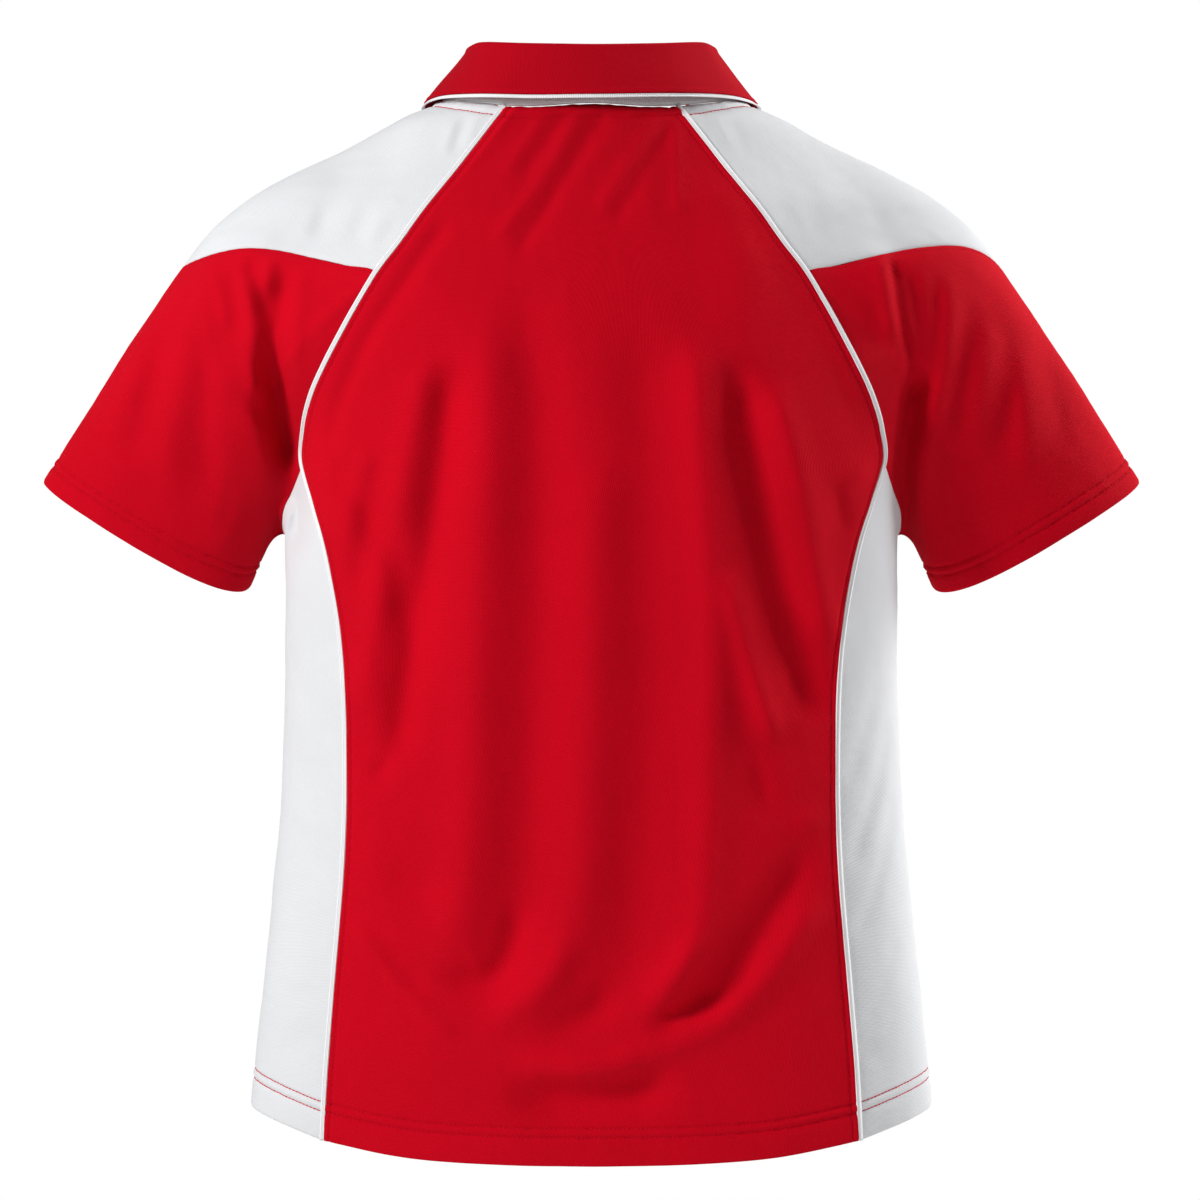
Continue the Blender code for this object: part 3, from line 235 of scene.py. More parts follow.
# Folds in millimetres, each fading out at its two ends.
FOLDS_BACK = (
    # height of fold (a trough is below 0), half-width, places (x, z)
    # long folds of the middle
    (+4.7, 12.0, ((-111, -168), (-116, -205), (-125, -245), (-131, -285), (-143, -338),
                  (-151, -378), (-157, -425))),
    (-8.5, 12.0, ((-89, -171), (-95, -205), (-99, -245), (-107, -298), (-115, -338), (-121, -378),
                  (-127, -418), (-133, -455))),
    (+6.2, 19.0, ((-70, -138), (-69, -205), (-70, -251), (-74, -298), (-78, -378), (-81, -458),
                  (-84, -512), (-91, -552), (-107, -574), (-123, -578))),
    (-5.4, 19.0, ((-38, -113), (-43, -158), (-34, -205), (-34, -272), (-37, -365), (-41, -472),
                  (-45, -525), (-52, -565), (-66, -590), (-87, -594), (-104, -590))),
    (+3.9, 17.0, ((4, -231), (3, -285), (0, -392), (-2, -485), (-6, -532), (-16, -568), (-34, -597),
                  (-58, -616), (-80, -620))),
    (-3.9, 19.0, ((32, -138), (36, -231), (39, -365), (38, -445), (34, -512), (27, -565),
                  (14, -604), (-6, -620), (-29, -626))),
    (+6.2, 15.0, ((71, -151), (74, -218), (78, -285), (83, -365), (81, -432), (80, -498),
                  (76, -552), (64, -580), (47, -602), (32, -617))),
    (+6.2, 9.0, ((91, -312), (101, -352), (107, -378), (116, -408), (129, -440))),
    (-10.9, 13.0, ((95, -171), (99, -205), (106, -238), (114, -278), (123, -318), (133, -358),
                   (143, -392), (152, -428))),
    (+4.7, 10.0, ((127, -185), (130, -211), (137, -238), (145, -272), (153, -312), (159, -345),
                  (165, -375))),
    (+2.5, 14.0, ((-147, -13), (-151, -31), (-160, -61), (-169, -93))),
    (+2.5, 14.0, ((147, -13), (151, -31), (160, -61), (169, -93))),
    (-5.0, 11.0, ((-184, -231), (-165, -257), (-148, -281), (-135, -308), (-128, -338),
                  (-126, -372))),
    (+4.0, 26.0, ((83, -2), (96, -58), (103, -91), (105, -131), (101, -171), (97, -205))),
    (+3.0, 13.0, ((154, -38), (168, -71), (180, -98), (190, -128), (195, -158))),
    (-2.6, 12.0, ((-173, -211), (-171, -238), (-164, -265), (-153, -292))),
    (-2.2, 11.0, ((-127, -272), (-128, -302), (-129, -332))),
    # small ones beside the armholes
    (+3.0, 8.0, ((-152, -231), (-159, -258), (-165, -285), (-169, -312))),
    (-3.0, 8.0, ((-137, -235), (-145, -265), (-152, -298), (-159, -338))),
    (-3.0, 7.0, ((163, -251), (169, -278), (174, -302))),
    (+2.2, 8.0, ((181, -238), (185, -265))),
    (-2.8, 6.5, ((-93, -77), (-127, -127), (-151, -163), (-167, -197), (-176, -225), (-177, -246))),
    (-1.0, 6.0, ((101, -77), (133, -127), (158, -168), (174, -205), (183, -231))),
    (-3.0, 10.0, ((105, -432), (113, -458), (122, -492))),
    (+2.2, 9.0, ((165, -482), (147, -488), (134, -497))),
    (-3.0, 8.0, ((-148, -444), (-141, -452), (-133, -457))),
    # swags above the hem
    (-4.0, 9.0, ((-48, -535), (-52, -568), (-66, -592), (-87, -594), (-108, -589))),
    (+3.2, 10.0, ((-11, -558), (-29, -592), (-56, -615), (-81, -620))),
    (-4.0, 10.0, ((20, -592), (2, -615), (-21, -625), (-42, -628))),
    (+4.0, 9.0, ((76, -555), (64, -580), (48, -601), (31, -617))),
    (-7.2, 13.0, ((161, -504), (143, -517), (126, -540), (109, -566), (93, -592), (72, -610),
                  (51, -621))),
    (-6.4, 8.0, ((94, -595), (74, -610), (54, -620), (34, -627))),
    (+4.8, 10.0, ((161, -532), (143, -558), (126, -584), (107, -605), (86, -622), (64, -634),
                  (32, -646), (6, -652), (-28, -652), (-58, -650))),
    (+3.2, 10.0, ((46, -644), (6, -652), (-34, -652))),
    (+2.1, 6.0, ((-166, -555), (-147, -575), (-128, -598), (-108, -620), (-87, -635))),
    (-8.6, 14.0, ((-66, -668), (-28, -674), (6, -674), (39, -668), (66, -656))),
    (-3.2, 13.0, ((-143, -505), (-127, -525), (-111, -538), (-118, -555))),
    (-2.4, 8.0, ((-149, -565), (-129, -586), (-108, -608))),
    # gathers below the neck seam
    (+2.0, 5.5, ((-2, 1), (-12, -17), (-29, -48), (-44, -71), (-60, -91), (-68, -101))),
    (-2.0, 5.5, ((12, 1), (2, -19), (-16, -51), (-30, -75), (-45, -98), (-52, -109))),
    (+1.4, 5.0, ((-26, 1), (-36, -15), (-45, -30), (-56, -46), (-61, -54))),
    (-1.4, 5.0, ((-12, 1), (-24, -18), (-34, -34), (-45, -50), (-50, -58))),
    (+1.2, 5.0, ((-49, 1), (-61, -17), (-70, -30), (-81, -43), (-87, -50))),
    (+1.2, 5.0, ((36, 1), (24, -14), (14, -27), (3, -39), (-2, -45))),
    (+1.7, 5.0, ((52, 1), (42, -17), (27, -41), (10, -69), (1, -82))),
    (-1.7, 5.0, ((65, 1), (54, -19), (39, -45), (22, -74), (13, -89))),
    (+2.0, 5.0, ((56, 1), (58, -15), (59, -41), (59, -70), (59, -84))),
    # left sleeve
    (+4.5, 6.5, ((-237, -106), (-233, -132), (-231, -159), (-229, -187), (-227, -207))),
    (-5.0, 5.0, ((-235, -100), (-231, -118), (-225, -135), (-222, -151))),
    (+3.2, 4.5, ((-220, -99), (-220, -117), (-221, -132))),
    (-9.5, 8.5, ((-208, -108), (-213, -135), (-218, -163), (-220, -187), (-218, -209), (-213, -232),
                 (-209, -254))),
    (-19.0, 13.0, ((-222, -156), (-219, -183), (-213, -209), (-209, -232), (-207, -254),
                   (-207, -271), (-209, -286), (-214, -302), (-223, -322))),
    (-15.0, 22.0, ((-217, -168), (-211, -201), (-209, -232), (-207, -259), (-209, -285),
                   (-215, -305), (-225, -331))),
    (+2.5, 12.0, ((-260, -201), (-255, -228), (-255, -263), (-260, -297), (-266, -318))),
    (+2.0, 6.0, ((-200, -106), (-200, -139), (-202, -173), (-202, -204))),
    (+2.4, 5.0, ((-264, -102), (-254, -132), (-247, -163), (-238, -187), (-229, -207))),
    (-2.4, 4.5, ((-253, -144), (-243, -174), (-233, -202), (-224, -223))),
    (+1.6, 4.0, ((-242, -152), (-235, -174), (-227, -195), (-220, -213))),
    (+1.6, 6.0, ((-272, -106), (-266, -139), (-260, -173), (-247, -207))),
    (-1.2, 5.0, ((-247, -106), (-246, -132), (-242, -159))),
    (-3.4, 11.0, ((-288, -129), (-297, -159), (-306, -190), (-315, -221), (-321, -249))),
    (+3.0, 12.0, ((-272, -118), (-282, -159), (-288, -201), (-293, -242), (-294, -276))),
    (-1.8, 9.0, ((-260, -152), (-266, -187), (-269, -228), (-266, -269))),
    (+2.2, 10.0, ((-306, -152), (-319, -180), (-335, -217))),
    (-1.2, 6.0, ((-251, -249), (-255, -276), (-265, -300))),
    # right sleeve
    (+5.0, 7.5, ((196, -91), (199, -113), (204, -140), (208, -168))),
    (-5.0, 4.0, ((205, -102), (208, -125), (212, -149), (218, -170), (222, -187), (223, -202))),
    (-3.2, 6.0, ((215, -106), (221, -132), (225, -159), (227, -187), (226, -209), (222, -232))),
    (-4.0, 3.2, ((221, -192), (217, -207), (213, -227), (211, -243), (210, -258))),
    (-17.0, 8.5, ((226, -174), (221, -203), (219, -227), (217, -249), (217, -269), (219, -292),
                  (225, -316))),
    (+4.0, 8.0, ((233, -214), (232, -243), (233, -273), (236, -300), (241, -323))),
    (-2.2, 6.0, ((237, -113), (237, -143), (236, -173), (234, -201))),
    (+2.2, 8.0, ((247, -106), (247, -139), (244, -173), (240, -207), (239, -235))),
    (-2.0, 9.0, ((262, -132), (259, -166), (255, -201), (252, -235))),
    (+2.0, 11.0, ((278, -125), (274, -159), (269, -201), (265, -242))),
    (-1.8, 9.0, ((289, -132), (292, -166), (289, -207), (284, -249))),
    (+2.4, 10.0, ((281, -106), (291, -139), (299, -180), (303, -221), (302, -256))),
    (-2.4, 10.0, ((309, -139), (320, -173), (328, -214), (332, -242))),
    (+1.6, 8.0, ((255, -235), (250, -269), (245, -304))),
    # white yokes
    (+1.0, 4.0, ((-92, -6), (-97, -22), (-101, -39))),
    (-1.1, 4.0, ((-84, -4), (-89, -20), (-95, -39))),
    (+0.8, 3.5, ((-76, -7), (-82, -22), (-88, -32))),
    (-0.5, 5.0, ((-95, -9), (-110, -18), (-121, -25))),
    (+0.9, 5.5, ((-188, -62), (-194, -80), (-199, -99))),
    (-1.1, 5.5, ((-178, -63), (-185, -81), (-188, -100))),
    (+1.0, 6.5, ((-160, -59), (-168, -80), (-175, -103))),
    (-0.9, 6.0, ((-147, -63), (-155, -81), (-160, -104))),
    (+0.7, 4.5, ((-135, -71), (-146, -86), (-155, -99))),
    (-0.9, 4.5, ((-128, -78), (-138, -92), (-147, -104))),
    (+0.5, 4.5, ((-131, -62), (-135, -73))),
    (+0.5, 4.0, ((-216, -80), (-224, -92), (-229, -103))),
    (-0.5, 4.0, ((-209, -84), (-216, -99))),
    (+1.0, 4.5, ((82, -3), (89, -19), (98, -36))),
    (-1.0, 5.0, ((92, -4), (101, -24), (109, -43))),
    (-0.7, 4.0, ((74, -4), (81, -14), (87, -24))),
    (+0.8, 6.0, ((137, -50), (142, -74), (150, -99))),
    (-0.8, 7.0, ((122, -54), (130, -74), (141, -96))),
    (-1.2, 7.5, ((166, -52), (170, -76), (174, -104))),
    (+1.1, 6.5, ((180, -52), (186, -74), (190, -97))),
    (-0.6, 6.0, ((196, -65), (200, -81), (202, -97))),
    (+0.6, 5.0, ((206, -69), (210, -84), (212, -100))),
    (-0.4, 3.5, ((228, -81), (234, -93))),
    (+0.4, 3.5, ((234, -82), (243, -96))),
    # white side panels
    (-0.9, 4.5, ((-201, -330), (-191, -357), (-179, -383))),
    (-1.1, 4.5, ((-208, -363), (-201, -393), (-190, -412), (-178, -439))),
    (+0.7, 6.0, ((-205, -400), (-195, -426), (-181, -456))),
    (-1.1, 4.5, ((-207, -418), (-199, -446), (-187, -472), (-178, -491))),
    (+0.7, 6.0, ((-209, -453), (-196, -479), (-181, -506))),
    (-1.3, 4.5, ((-212, -480), (-199, -504), (-183, -532))),
    (-0.9, 5.0, ((-198, -541), (-190, -560), (-181, -576))),
    (-1.2, 6.5, ((-207, -601), (-196, -607), (-184, -605))),
    (+0.9, 7.0, ((-216, -623), (-202, -624), (-186, -617))),
    (-1.1, 7.0, ((-216, -636), (-201, -642), (-184, -636))),
    (-0.9, 5.0, ((198, -390), (185, -431), (174, -470))),
    (-1.3, 5.0, ((206, -418), (198, -456), (188, -489), (176, -524))),
    (+0.7, 6.0, ((206, -448), (199, -482), (188, -515))),
    (-1.2, 5.0, ((210, -471), (202, -509), (192, -543), (180, -573))),
    (-0.7, 6.0, ((211, -564), (198, -605), (185, -639))),
    (-0.9, 6.0, ((182, -635), (192, -647), (204, -657))),
)
FOLDS_FRONT = (
    # height of fold, half-width, places (x, z)
    (+4.0, 16.0, ((-90, -190), (-96, -300), (-90, -420), (-70, -520))),
    (-6.0, 14.0, ((-122, -180), (-134, -280), (-128, -380), (-108, -480))),
    (+3.0, 10.0, ((-158, -260), (-160, -340), (-152, -430))),
    (-4.5, 19.0, ((-44, -260), (-48, -380), (-36, -500), (-20, -600))),
    (+3.5, 17.0, ((14, -290), (20, -420), (12, -560))),
    (-5.5, 16.0, ((62, -220), (72, -340), (86, -450), (110, -560))),
    (+4.5, 13.0, ((98, -180), (112, -290), (132, -410))),
    (-3.0, 9.0, ((140, -250), (152, -340), (158, -410))),
    (-5.0, 12.0, ((-150, -560), (-90, -610), (-20, -628), (30, -620))),
    (+2.5, 10.0, ((-140, -605), (-80, -642), (-10, -650), (50, -636))),
    (-3.0, 10.0, ((150, -570), (100, -618), (50, -640))),
    # sleeves
    (+3.5, 9.0, ((-216, -112), (-222, -165), (-226, -205))),
    (-6.0, 10.0, ((-200, -140), (-205, -190), (-210, -240))),
    (-3.5, 13.0, ((-262, -130), (-276, -190), (-290, -245))),
    (+3.0, 8.0, ((214, -112), (220, -160), (226, -200))),
    (-5.5, 10.0, ((198, -140), (206, -190), (210, -240))),
    (-3.5, 12.0, ((256, -125), (266, -190), (282, -255))),
)

STAND_TOP = (
    # turn, x, y, z
    (0.0, 0.0000, -0.0680, 0.0350),
    (30.0, -0.0460, -0.0590, 0.0372),
    (60.0, -0.0758, -0.0300, 0.0420),
    (90.0, -0.0828, 0.0080, 0.0430),
    (120.0, -0.0740, 0.0450, 0.0240),
    (150.0, -0.0460, 0.0760, -0.0170),
    (180.0, 0.0000, 0.0900, -0.0470),
)
LEAF_EDGE = (
    (0.0, 0.0000, -0.0880, 0.0040),
    (30.0, -0.0560, -0.0790, 0.0056),
    (60.0, -0.0985, -0.0450, 0.0092),
    (75.0, -0.1105, -0.0190, 0.0098),
    (90.0, -0.1165, 0.0080, 0.0068),
    (120.0, -0.1120, 0.0560, -0.0160),
    (150.0, -0.0900, 0.0910, -0.0700),
    (180.0, -0.0550, 0.1120, -0.1230),
)
ROLL = (
    # how the leaf turns over the stand: above its top, out from it
    (0.0014, 0.0000),
    (0.0035, 0.0006),
    (0.0043, 0.0028),
    (0.0036, 0.0050),
    (0.0010, 0.0060),
)
COLLAR_LIFT = 0.0004          # of the stand above the neck's cloth
COLLAR_CELLS = 300            # steps round the collar
STAND_CELLS = 14              # steps up the stand
STAND_ENDS_OUT = 0.09         # from the neck's axis to the stand's ends, where it is open
STAND_LEAN = 0.0008           # outwards, at its top
STAND_PUCKER = 0.00012        # of its lower edge
COLLAR_CLEAR = 0.0040         # between the leaf and the cloth under it
FRONT_OPENING = 0.0008        # half the gap between the stand's two ends
LEAF_WAVE = (0.0007, 0.19)    # height, length
LEAF_UNEVENNESS = (0.0004, 0.05)
LEAF_FADE = 0.03              # down from its top, over which both of them set in
LEAF_ROUNDS = 60              # rounds of spreading what lifts it clear
LEAF_CELLS = 26               # even steps down it
LEAF_STEPS_DRAWN = 8          # steps between two of its rows, while it is drawn


# ---------------------------------------------------------------- curves and the form

def unit(vectors):
    return vectors / (np.linalg.norm(vectors, axis=-1, keepdims=True) + 1e-12)


def smooth_table(table, column):
    """A smooth curve through one column of a table whose first column rises."""
    xs = np.array([row[0] for row in table])
    ys = np.array([row[column] for row in table])
    slope = np.diff(ys) / np.diff(xs)
    before, after = slope[:-1], slope[1:]
    same_way = before * after > 0
    total = np.where(same_way, before + after, 1.0)
    inner = np.where(same_way, 2 * before * after / total, 0.0)
    tangent = np.concatenate((slope[:1], inner, slope[-1:]))

    def value(x):
        x = np.clip(x, xs[0], xs[-1])
        i = np.clip(np.searchsorted(xs, x) - 1, 0, len(xs) - 2)
        step = xs[i + 1] - xs[i]
        s = (x - xs[i]) / step
        start = (1 - s) ** 2 * ((1 + 2 * s) * ys[i] + s * step * tangent[i])
        end = s * s * ((3 - 2 * s) * ys[i + 1] + (s - 1) * step * tangent[i + 1])
        return start + end

    return value


def lengths_along(points):
    """Distances along lines that run down a grid, from its first row."""
    steps = np.linalg.norm(np.diff(points, axis=0), axis=-1)
    return np.concatenate((np.zeros((1,) + steps.shape[1:]), np.cumsum(steps, axis=0)))


def placed_along(points, wanted):
    """Places at the wanted distances along a line."""
    along = lengths_along(points)
    return np.stack([np.interp(wanted, along, points[:, i]) for i in range(3)], axis=1)


def spaced(points, cells):
    """The line with this many even steps."""
    return placed_along(points, np.linspace(0, lengths_along(points)[-1], cells + 1))


def through(points, at):
    """A smooth line through rows of points (Catmull-Rom), read at fractional rows."""
    p = np.concatenate((2 * points[:1] - points[1:2], points, 2 * points[-1:] - points[-2:-1]))
    i = np.clip(np.floor(at).astype(int), 0, len(points) - 2)
    s = (at - i).reshape((-1,) + (1,) * (points.ndim - 1))
    a, b, c, d = p[i], p[i + 1], p[i + 2], p[i + 3]
    return 0.5 * (2 * b + (c - a) * s + (2 * a - 5 * b + 4 * c - d) * s ** 2
                  + (3 * b - a - 3 * c + d) * s ** 3)


def drawn(rows, times):
    """A smooth line through rows of points, with so many times as many steps."""
    steps = len(rows) - 1
    return through(rows, np.linspace(0, steps, times * steps + 1))


torso_half = smooth_table(TORSO, 1)
torso_back = smooth_table(TORSO, 2)
torso_front = smooth_table(TORSO, 3)
torso_round = smooth_table(TORSO, 4)
sleeve_half = smooth_table(SLEEVE, 1)
sleeve_deep = smooth_table(SLEEVE, 2)
blend_reach = smooth_table(BLEND, 1)

RUN = unit(SLEEVE_RUN)
ACROSS = unit(np.cross(RUN, (0.0, 1.0, 0.0)))
BACKWARD = np.cross(RUN, ACROSS)


def torso_radius(cx, cy, z):
    depth = np.where(cy < 0, torso_back(z), torso_front(z))
    power = torso_round(z)
    return ((np.abs(cx) / torso_half(z)) ** power + (np.abs(cy) / depth) ** power) ** (-1 / power)


def sleeve_radius(cu, cv, along):
    return 1 / np.sqrt((cu / sleeve_half(along)) ** 2 + (cv / sleeve_deep(along)) ** 2)


def torso_gap(x, y, z):
    """How far places are from the torso's surface, with inside below 0."""
    r = np.hypot(x, y) + 1e-9
    cx, cy = x / r, y / r
    probe = 0.002
    taper = (torso_radius(cx, cy, z + probe) - torso_radius(cx, cy, z - probe)) / (2 * probe)
    return (r - torso_radius(cx, cy, z)) / np.sqrt(1 + taper ** 2)


def sleeve_gap(along, u, v):
    r = np.hypot(u, v) + 1e-9
    return r - sleeve_radius(u / r, v / r, along) + np.maximum(0, SLEEVE[0][0] - along)


def form(points):
    """Below 0 inside the filled-out shirt, 0 on its surface, above 0 outside."""
    torso = torso_gap(points[..., 0], points[..., 1], points[..., 2])
    left = points * np.array((-1.0, 1.0, 1.0))
    left = np.where(points[..., :1] > 0, left, points) - SLEEVE_ROOT
    sleeve = sleeve_gap(left @ RUN, left @ ACROSS, left @ BACKWARD)
    reach = blend_reach(points[..., 2])
    melt = np.maximum(reach - np.abs(torso - sleeve), 0) / reach
    return np.minimum(torso, sleeve) - melt * melt * reach / 4


def form_slope(points):
    probe = 1e-4
    slope = np.empty_like(points)
    for axis in range(3):
        step = np.zeros(3)
        step[axis] = probe
        slope[..., axis] = (form(points + step) - form(points - step)) / (2 * probe)
    return slope


def onto_form(points, rounds=8):
    """The points moved straight onto the form's surface."""
    points = np.array(points, float)
    for _ in range(rounds):
        slope = form_slope(points)
        step = form(points) / (np.sum(slope * slope, axis=-1) + 1e-9)
        points = points - slope * np.clip(step, -0.02, 0.02)[..., None]
    return points


def normals(points):
    return unit(form_slope(points))


def search(inside, outside, rounds=40):
    """Where each line from a point inside to a point outside leaves the form."""
    low = np.zeros(inside.shape[:-1])
    high = np.ones(inside.shape[:-1])
    for _ in range(rounds):
        middle = (low + high) / 2
        within = form(inside + (outside - inside) * middle[..., None]) < 0
        low = np.where(within, middle, low)
        high = np.where(within, high, middle)
    return inside + (outside - inside) * high[..., None]


def face_places(x, z, side):
    """Places on the back (side -1) or the front (side 1) of the form."""
    inside = np.stack((x, 0 * x, z), axis=-1)
    outside = np.stack((x, 0 * x + side * FORM_DEPTH, z), axis=-1)
    return search(inside, outside)


def neckline(turns):
    """Places on the neck seam, by the turn in degrees round the neck from the back."""
    turns = np.radians(np.asarray(turns, float))
    side, back = np.sin(turns), np.cos(turns)
    power = 2 / np.where(back > 0, NECK_ROUND_BACK, NECK_ROUND_FRONT)
    x = -NECK_HALF_WIDTH * np.sign(side) * np.abs(side) ** power
    y = NECK_FORWARD - NECK_HALF_DEPTH * np.sign(back) * np.abs(back) ** power
    low, high = [np.stack((x, y, 0 * x + height), axis=-1) for height in NECK_HEIGHTS]
    return search(low, high)


# ---------------------------------------------------------------- folds

def bump(distance, centre, half_width):
    return np.exp(-((distance - centre) / half_width) ** 2)


def beside_line(x, z, line):
    """Distance of each x, z from a smooth line, and from there to the line's nearer end."""
    line = through(line, np.linspace(0, len(line) - 1, 5 * len(line)))
    steps = np.hypot(*np.diff(line, axis=0).T)
    length = steps.sum()
    starts = np.cumsum(steps) - steps
    nearest = np.full(x.shape, np.inf)
    to_end = np.zeros(x.shape)
    for (x0, z0), (x1, z1), step, start in zip(line[:-1], line[1:], steps, starts):
        dx, dz = x1 - x0, z1 - z0
        s = np.clip(((x - x0) * dx + (z - z0) * dz) / step ** 2, 0, 1)
        away = (x - x0 - s * dx) ** 2 + (z - z0 - s * dz) ** 2
        closer = away < nearest
        nearest = np.where(closer, away, nearest)
        along = start + s * step
        to_end = np.where(closer, np.minimum(along, length - along), to_end)
    return np.sqrt(nearest), to_end, length


def fold_offsets(points, facing):
    """How far the folds move each point of the form, straight back or straight forward."""
    x, z = points[..., 0], points[..., 2]
    offset = np.zeros(points.shape)
    for folds, side in ((FOLDS_BACK, -1), (FOLDS_FRONT, 1)):
        share = np.clip((facing[..., 1] * side - 0.05) / 0.4, 0, 1)
        for height, width, line in folds:
            height, width, line = height / 1000, width / 1000, np.array(line) / 1000
            low = np.min(line, axis=0) - FOLD_REACH * width
            high = np.max(line, axis=0) + FOLD_REACH * width
            near = (share > 0) & (x > low[0]) & (x < high[0]) & (z > low[1]) & (z < high[1])
            if not near.any():
                continue
            away, to_end, length = beside_line(x[near], z[near], line)
            fading = min(FOLD_FADE * width, FOLD_FADE_SHARE * length)
            ends = np.clip(to_end / fading, 0, 1)
            fade = ends * ends * (3 - 2 * ends)
            offset[near, 1] += side * share[near] * height * fade * bump(away, 0, width)
    return offset


# ---------------------------------------------------------------- seams and coarse grids

def seam(places, cells):
    """A smooth line on the form near these places."""
    places = np.array(places, float)
    return onto_form(spaced(drawn(places, SEAM_PLACES), cells))


def mirrored(points):
    return points * np.array((-1.0, 1.0, 1.0))


def right_side(points):
    """A grid of the right side: mirrored, with the shoulder seam higher at its outer end."""
    points = mirrored(points)
    near = (bump(points[..., 0], SEAM_RISE_AT[0], SEAM_RISE_REACH[0])
            * bump(points[..., 2], SEAM_RISE_AT[1], SEAM_RISE_REACH[1])
            * np.clip(0.5 - points[..., 1] / SEAM_RISE_FADE, 0, 1))
    points[..., 2] += SEAM_RISE * near
    return onto_form(points, 5)


def one_side(grid, sign, shape=right_side):
    """The grid of a left piece, or the same piece on the right."""
    return grid if sign < 0 else shape(grid)


def joined(*lines):
    """Lines that meet end to end, as one."""
    return np.vstack([lines[0]] + [line[1:] for line in lines[1:]])


BACK_NECK = tuple(neckline((BACK_NECK_POINT,))[0])
FRONT_NECK = tuple(neckline((FRONT_NECK_POINT,))[0])
SEAM_YOKE_BACK = seam((BACK_NECK,) + YOKE_SIDE_BACK, CELLS["yoke"])
SEAM_ARMHOLE_BACK = seam(ARMHOLE_BACK, CELLS["armhole"])
SEAM_SIDE_BACK = seam(SIDE_BACK, CELLS["side"])
SEAM_YOKE_FRONT = seam((FRONT_NECK,) + YOKE_SIDE_FRONT, CELLS["yoke"])
SEAM_ARMHOLE_FRONT = seam(ARMHOLE_FRONT, CELLS["armhole"])
SEAM_SIDE_FRONT = seam(SIDE_FRONT, CELLS["side"])
SEAM_YOKE_SLEEVE = seam(YOKE_SLEEVE, CELLS["shoulder"])
SEAM_UNDERARM = seam(UNDERARM, CELLS["underarm"])
BACK_EDGE = joined(SEAM_YOKE_BACK, SEAM_ARMHOLE_BACK, SEAM_SIDE_BACK)
FRONT_EDGE = joined(SEAM_YOKE_FRONT, SEAM_ARMHOLE_FRONT, SEAM_SIDE_FRONT)


def coons(top, bottom, left, right, across=None):
    """A grid of places between four lines that meet at the corners."""
    v = np.linspace(0, 1, len(left))[:, None, None]
    u = np.linspace(0, 1, len(top)) if across is None else across
    u = u[None, :, None]
    between_rows = (1 - v) * top[None] + v * bottom[None]
    between_columns = (1 - u) * left[:, None] + u * right[:, None]
    corners = ((1 - v) * ((1 - u) * top[0] + u * top[-1])
               + v * ((1 - u) * bottom[0] + u * bottom[-1]))
    return between_rows + between_columns - corners


def eased(grid, rounds, closed=False):
    """Evens out the inner points of a grid on the form."""
    grid = onto_form(grid)
    for _ in range(rounds):
        if closed:
            ahead = np.roll(grid[:, :-1], -1, axis=1)
            behind = np.roll(grid[:, :-1], 1, axis=1)
            ring = grid[:, :-1].copy()
            ring[1:-1] = (ahead[1:-1] + behind[1:-1] + ring[:-2] + ring[2:]) / 4
            grid = np.concatenate((ring, ring[:, :1]), axis=1)
        else:
            inner = (grid[:-2, 1:-1] + grid[2:, 1:-1] + grid[1:-1, :-2] + grid[1:-1, 2:]) / 4
            grid[1:-1, 1:-1] = inner
        grid[1:-1] = onto_form(grid[1:-1], 2)
    return grid


def face_grid(edge, top, bottom, side, across):
    grid = coons(top, bottom, edge, mirrored(edge), across)
    grid[1:-1, 1:-1] = face_places(grid[1:-1, 1:-1, 0], grid[1:-1, 1:-1, 2], side)
    return grid


def both_halves(half):
    """A line from the left to the middle, carried on to the right."""
    return np.vstack((half, mirrored(half[-2::-1])))


def back_grid():
    half = CELLS["body"] // 2
    top = both_halves(neckline(np.linspace(BACK_NECK_POINT, 0, half + 1)))
    bottom = both_halves(seam(HEM_BACK, half))
    return face_grid(BACK_EDGE, top, bottom, -1, np.linspace(0, 1, 2 * half + 1))


def front_grid():
    outer = CELLS["body"] // 2 - 1
    slit_turn = 180 - math.degrees(math.asin(SLIT_HALF_WIDTH / NECK_HALF_WIDTH))
    turns = np.append(np.linspace(FRONT_NECK_POINT, slit_turn, outer + 1), 180)
    top = both_halves(neckline(turns))
    hem = seam(HEM_FRONT, 400)
    slit = int(np.argmin(np.abs(hem[:, 0] + SLIT_HALF_WIDTH)))
    bottom = both_halves(np.vstack((spaced(hem[:slit + 1], outer), hem[-1:])))
    left_half = np.append(np.linspace(0, 0.5, outer + 1), 0.5)
    across = np.append(left_half, 1 - left_half[-2::-1])
    return face_grid(FRONT_EDGE, top, bottom, 1, across)


def side_grid():
    grid = coons(SEAM_UNDERARM, seam(HEM_SIDE, CELLS["underarm"]), SEAM_SIDE_FRONT,
                 SEAM_SIDE_BACK)
    return eased(grid, EASING)


def yoke_grid():
    turns = np.linspace(BACK_NECK_POINT, FRONT_NECK_POINT, CELLS["shoulder"] + 1)
    grid = coons(neckline(turns), SEAM_YOKE_SLEEVE, SEAM_YOKE_BACK, SEAM_YOKE_FRONT)
    return eased(grid, EASING)


